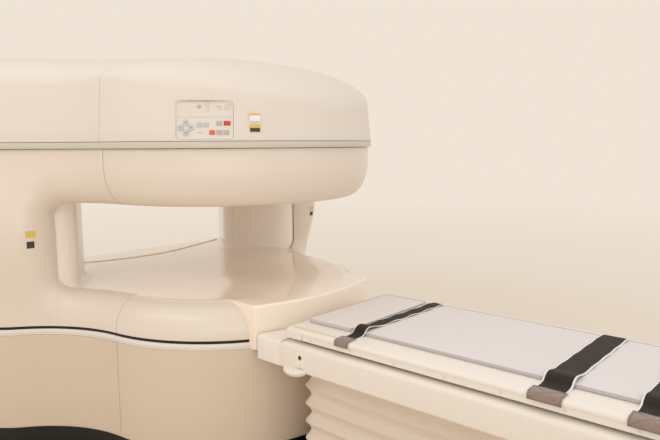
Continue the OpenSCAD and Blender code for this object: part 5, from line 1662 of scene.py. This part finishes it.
def stitchTree():
    # stitches along the edges of a guide mesh: each is a short capsule laid along its edge
    tree, start = newTree("stitchRun", {"Geometry": "Geometry", "Stitch": "Float", "Gap": "Float",
                                        "Thread": "Float", "Material": "Material"})
    curve = fed(tree, "GeometryNodeMeshToCurve", {"Mesh": start["Geometry"]}).outputs["Curve"]
    spaced = fed(tree, "GeometryNodeCurveToPoints", {"Curve": curve, "Length": start["Gap"]},
                 mode="LENGTH").outputs
    ball = node(tree, "GeometryNodeMeshUVSphere", Segments=8, Rings=6, Radius=1.0).outputs["Mesh"]
    size = fed(tree, "ShaderNodeCombineXYZ", {"X": start["Thread"], "Y": start["Thread"],
                                              "Z": math2(tree, "MULTIPLY", start["Stitch"], 0.5)}).outputs[0]
    return paintCopies(tree, start, {"Points": spaced["Points"], "Rotation": spaced["Rotation"],
                                     "Instance": ball, "Scale": size})


stitchRun = stitchTree()
stitchForm = {"Stitch": 0.0046, "Gap": 0.0058, "Thread": 0.00065}
# a box with a cross in it: from and to, along and across the wrap
stitchRuns = (((0.06, -1), (0.06, 1)), ((0.06, 1), (0.94, 1)), ((0.94, 1), (0.94, -1)),
              ((0.94, -1), (0.06, -1)), ((0.06, -1), (0.94, 1)), ((0.06, 1), (0.94, -1)))


def stitchesOn(name, f, line, normal, half):
    # the stitches sewn through the wrap's front
    length = lineLengths(line)
    out = strapForm["wrapThick"] + strapForm["threadOut"]

    def on(u, v):
        d = u * length[-1]
        k = min(int(np.searchsorted(length, d, side="right")) - 1, len(line) - 2)
        t = (d - length[k]) / (length[k + 1] - length[k])
        q = lerp(line[k], line[k + 1], t) + out * lerp(normal[k], normal[k + 1], t)
        return (f["x"] + f["w"] / 2 + (half - strapForm["seamIn"]) * v, q[0], q[1])

    points, edges = [], []
    for a, b in stitchRuns:
        edges += [(len(points) + k, len(points) + k + 1) for k in range(24)]
        points += [on(lerp(a[0], b[0], t), lerp(a[1], b[1], t)) for t in steps(24)]
    obj = runTree(name, stitchRun, {**stitchForm, "Material": threadCloth}, points, edges)
    return dress(obj, "tabletop", threadCloth, angle=80)


for name, f in straps.items():
    ribbon(name, f)
    stitchesOn(name + "Stitches", f, *wrapBand(name + "Wrap", f))
print("straps")

# finish of what is carried over from the frame: the magnet, the lift, the rails, the feet
carried = {"lower_yoke": yokeSteel, "upper_yoke": yokeSteel, "yoke_post_left": yokeSteel,
           "yoke_post_right": yokeSteel, "lower_magnet": magnetGrey, "upper_magnet": magnetGrey,
           "lower_pole_piece": poleSteel, "upper_pole_piece": poleSteel, "lower_gradient_coil": coilResin,
           "upper_gradient_coil": coilResin, "leveling_feet": footSteel, "table_base": baseDark,
           "lift_column": liftSteel, "lift_middle": liftSteel, "lift_inner": liftSteel,
           "tabletop_rails": railSteel}
for nodeName, paint in carried.items():
    obj = nodes[nodeName]
    if not obj.material_slots:
        obj.data.materials.append(paint)
    for place in obj.material_slots:
        place.link = "OBJECT"
        place.material = paint
print("carried nodes painted")


# floor, light
studio = {"floorHalf": 24.0, "floorFrom": 2.6, "fill": (1.0, 0.955, 0.9, 1), "fillPower": 0.86}
lights = {"ceilingSoft": {"place": (0.6, -0.6, 3.9), "aim": (0.3, 0, 0.6), "size": (4.5, 3.5), "power": 13},
          "frontSoft": {"place": (4.6, -3.4, 2.6), "aim": (0.4, 0, 0.9), "size": (2.6, 2.2), "power": 3},
          "gapFill": {"place": (2.2, -1.9, 1.15), "aim": (-0.4, 0.4, 0.95), "size": (2.2, 0.8), "power": 1.8,
                      "colour": (0.94, 0.97, 1), "spread": 110},
          "noseFill": {"place": (3.3, 0.5, 2.0), "aim": (0.7, 0.1, 0.8), "size": (1.2, 1.2), "power": 3.5,
                       "colour": (0.92, 0.96, 1)},
          "stripNear": {"place": (0.3, -2.4, 2.55), "aim": (-0.1, -0.8, 0.7), "size": (2.4, 0.5), "power": 8},
          "stripRight": {"place": (2.6, -0.9, 2.55), "aim": (0.3, -0.8, 0.7), "size": (0.05, 0.9),
                         "power": 2}}


def backgroundRays(tree):
    # 1 where the camera, a mirror or glass looks, so that they all show the pale backdrop
    rays = tree.nodes.new("ShaderNodeLightPath")
    seen = math2(tree, "MAXIMUM", rays.outputs["Is Camera Ray"], rays.outputs["Is Glossy Ray"])
    return math2(tree, "MAXIMUM", seen, rays.outputs["Is Transmission Ray"])


def addFloor():
    size = studio["floorHalf"]
    corners = [(1000 * size * x, 1000 * size * y, 0) for x, y in ((-1, -1), (1, -1), (1, 1), (-1, 1))]
    floor = newMesh("studioFloor", corners, [(0, 1, 2, 3)])
    material, tree, shader = newMaterial("floorPale", rgb("e9dfd2"))
    shader.inputs["Base Color"].default_value = rgb("efe2d3")
    shader.inputs["Roughness"].default_value = 0.6
    # away from the scanner the floor goes over into the backdrop's colour
    distance = fed(tree, "ShaderNodeVectorMath", {0: objectCoords(tree)}, operation="LENGTH").outputs["Value"]
    ramp = fed(tree, "ShaderNodeValToRGB", {"Fac": math2(tree, "DIVIDE", distance, size)})
    for stop, (place, hexText) in zip(ramp.color_ramp.elements, ((0.1, "e6d7c6"), (0.55, "f0e4d7"))):
        stop.position, stop.color = place, rgb(hexText)
    glow = fed(tree, "ShaderNodeEmission", {"Color": ramp.outputs["Color"]})
    near = math2(tree, "MULTIPLY", math2(tree, "SUBTRACT", distance, studio["floorFrom"]), 0.45, clamp=True)
    blend = fed(tree, "ShaderNodeMixShader", {0: math2(tree, "MULTIPLY", near, backgroundRays(tree)),
                                              1: shader.outputs[0], 2: glow.outputs[0]})
    tree.links.new(blend.outputs[0], tree.nodes["Material Output"].inputs["Surface"])
    floor.data.materials.append(material)


def addWorld():
    # a warm fill all round, and the pale backdrop for the rays that look at it
    world = scene.world = bpy.data.worlds.new("studio")
    world.use_nodes = True
    tree = world.node_tree
    fill = tree.nodes["Background"]
    fill.inputs["Color"].default_value = studio["fill"]
    fill.inputs["Strength"].default_value = studio["fillPower"]
    seen = node(tree, "ShaderNodeBackground", Color=rgb("f0e4d7"))
    choose = fed(tree, "ShaderNodeMixShader",
                 {0: backgroundRays(tree), 1: fill.outputs[0], 2: seen.outputs[0]})
    tree.links.new(choose.outputs[0], tree.nodes["World Output"].inputs["Surface"])


addFloor()
addWorld()


def areaLight(name, place, aim, size, power, colour=(1, 0.97, 0.93), spread=180):
    data = bpy.data.lights.new(name, "AREA")
    data.shape = "RECTANGLE"
    data.size, data.size_y = size
    data.energy = power
    data.color = colour
    data.spread = math.radians(spread)
    lamp = bpy.data.objects.new(name, data)
    scene.collection.objects.link(lamp)
    lamp.location = place
    lamp.rotation_euler = (Vector(aim) - Vector(place)).to_track_quat("-Z", "Y").to_euler()
    return lamp


for name, light in lights.items():
    areaLight(name, **light)
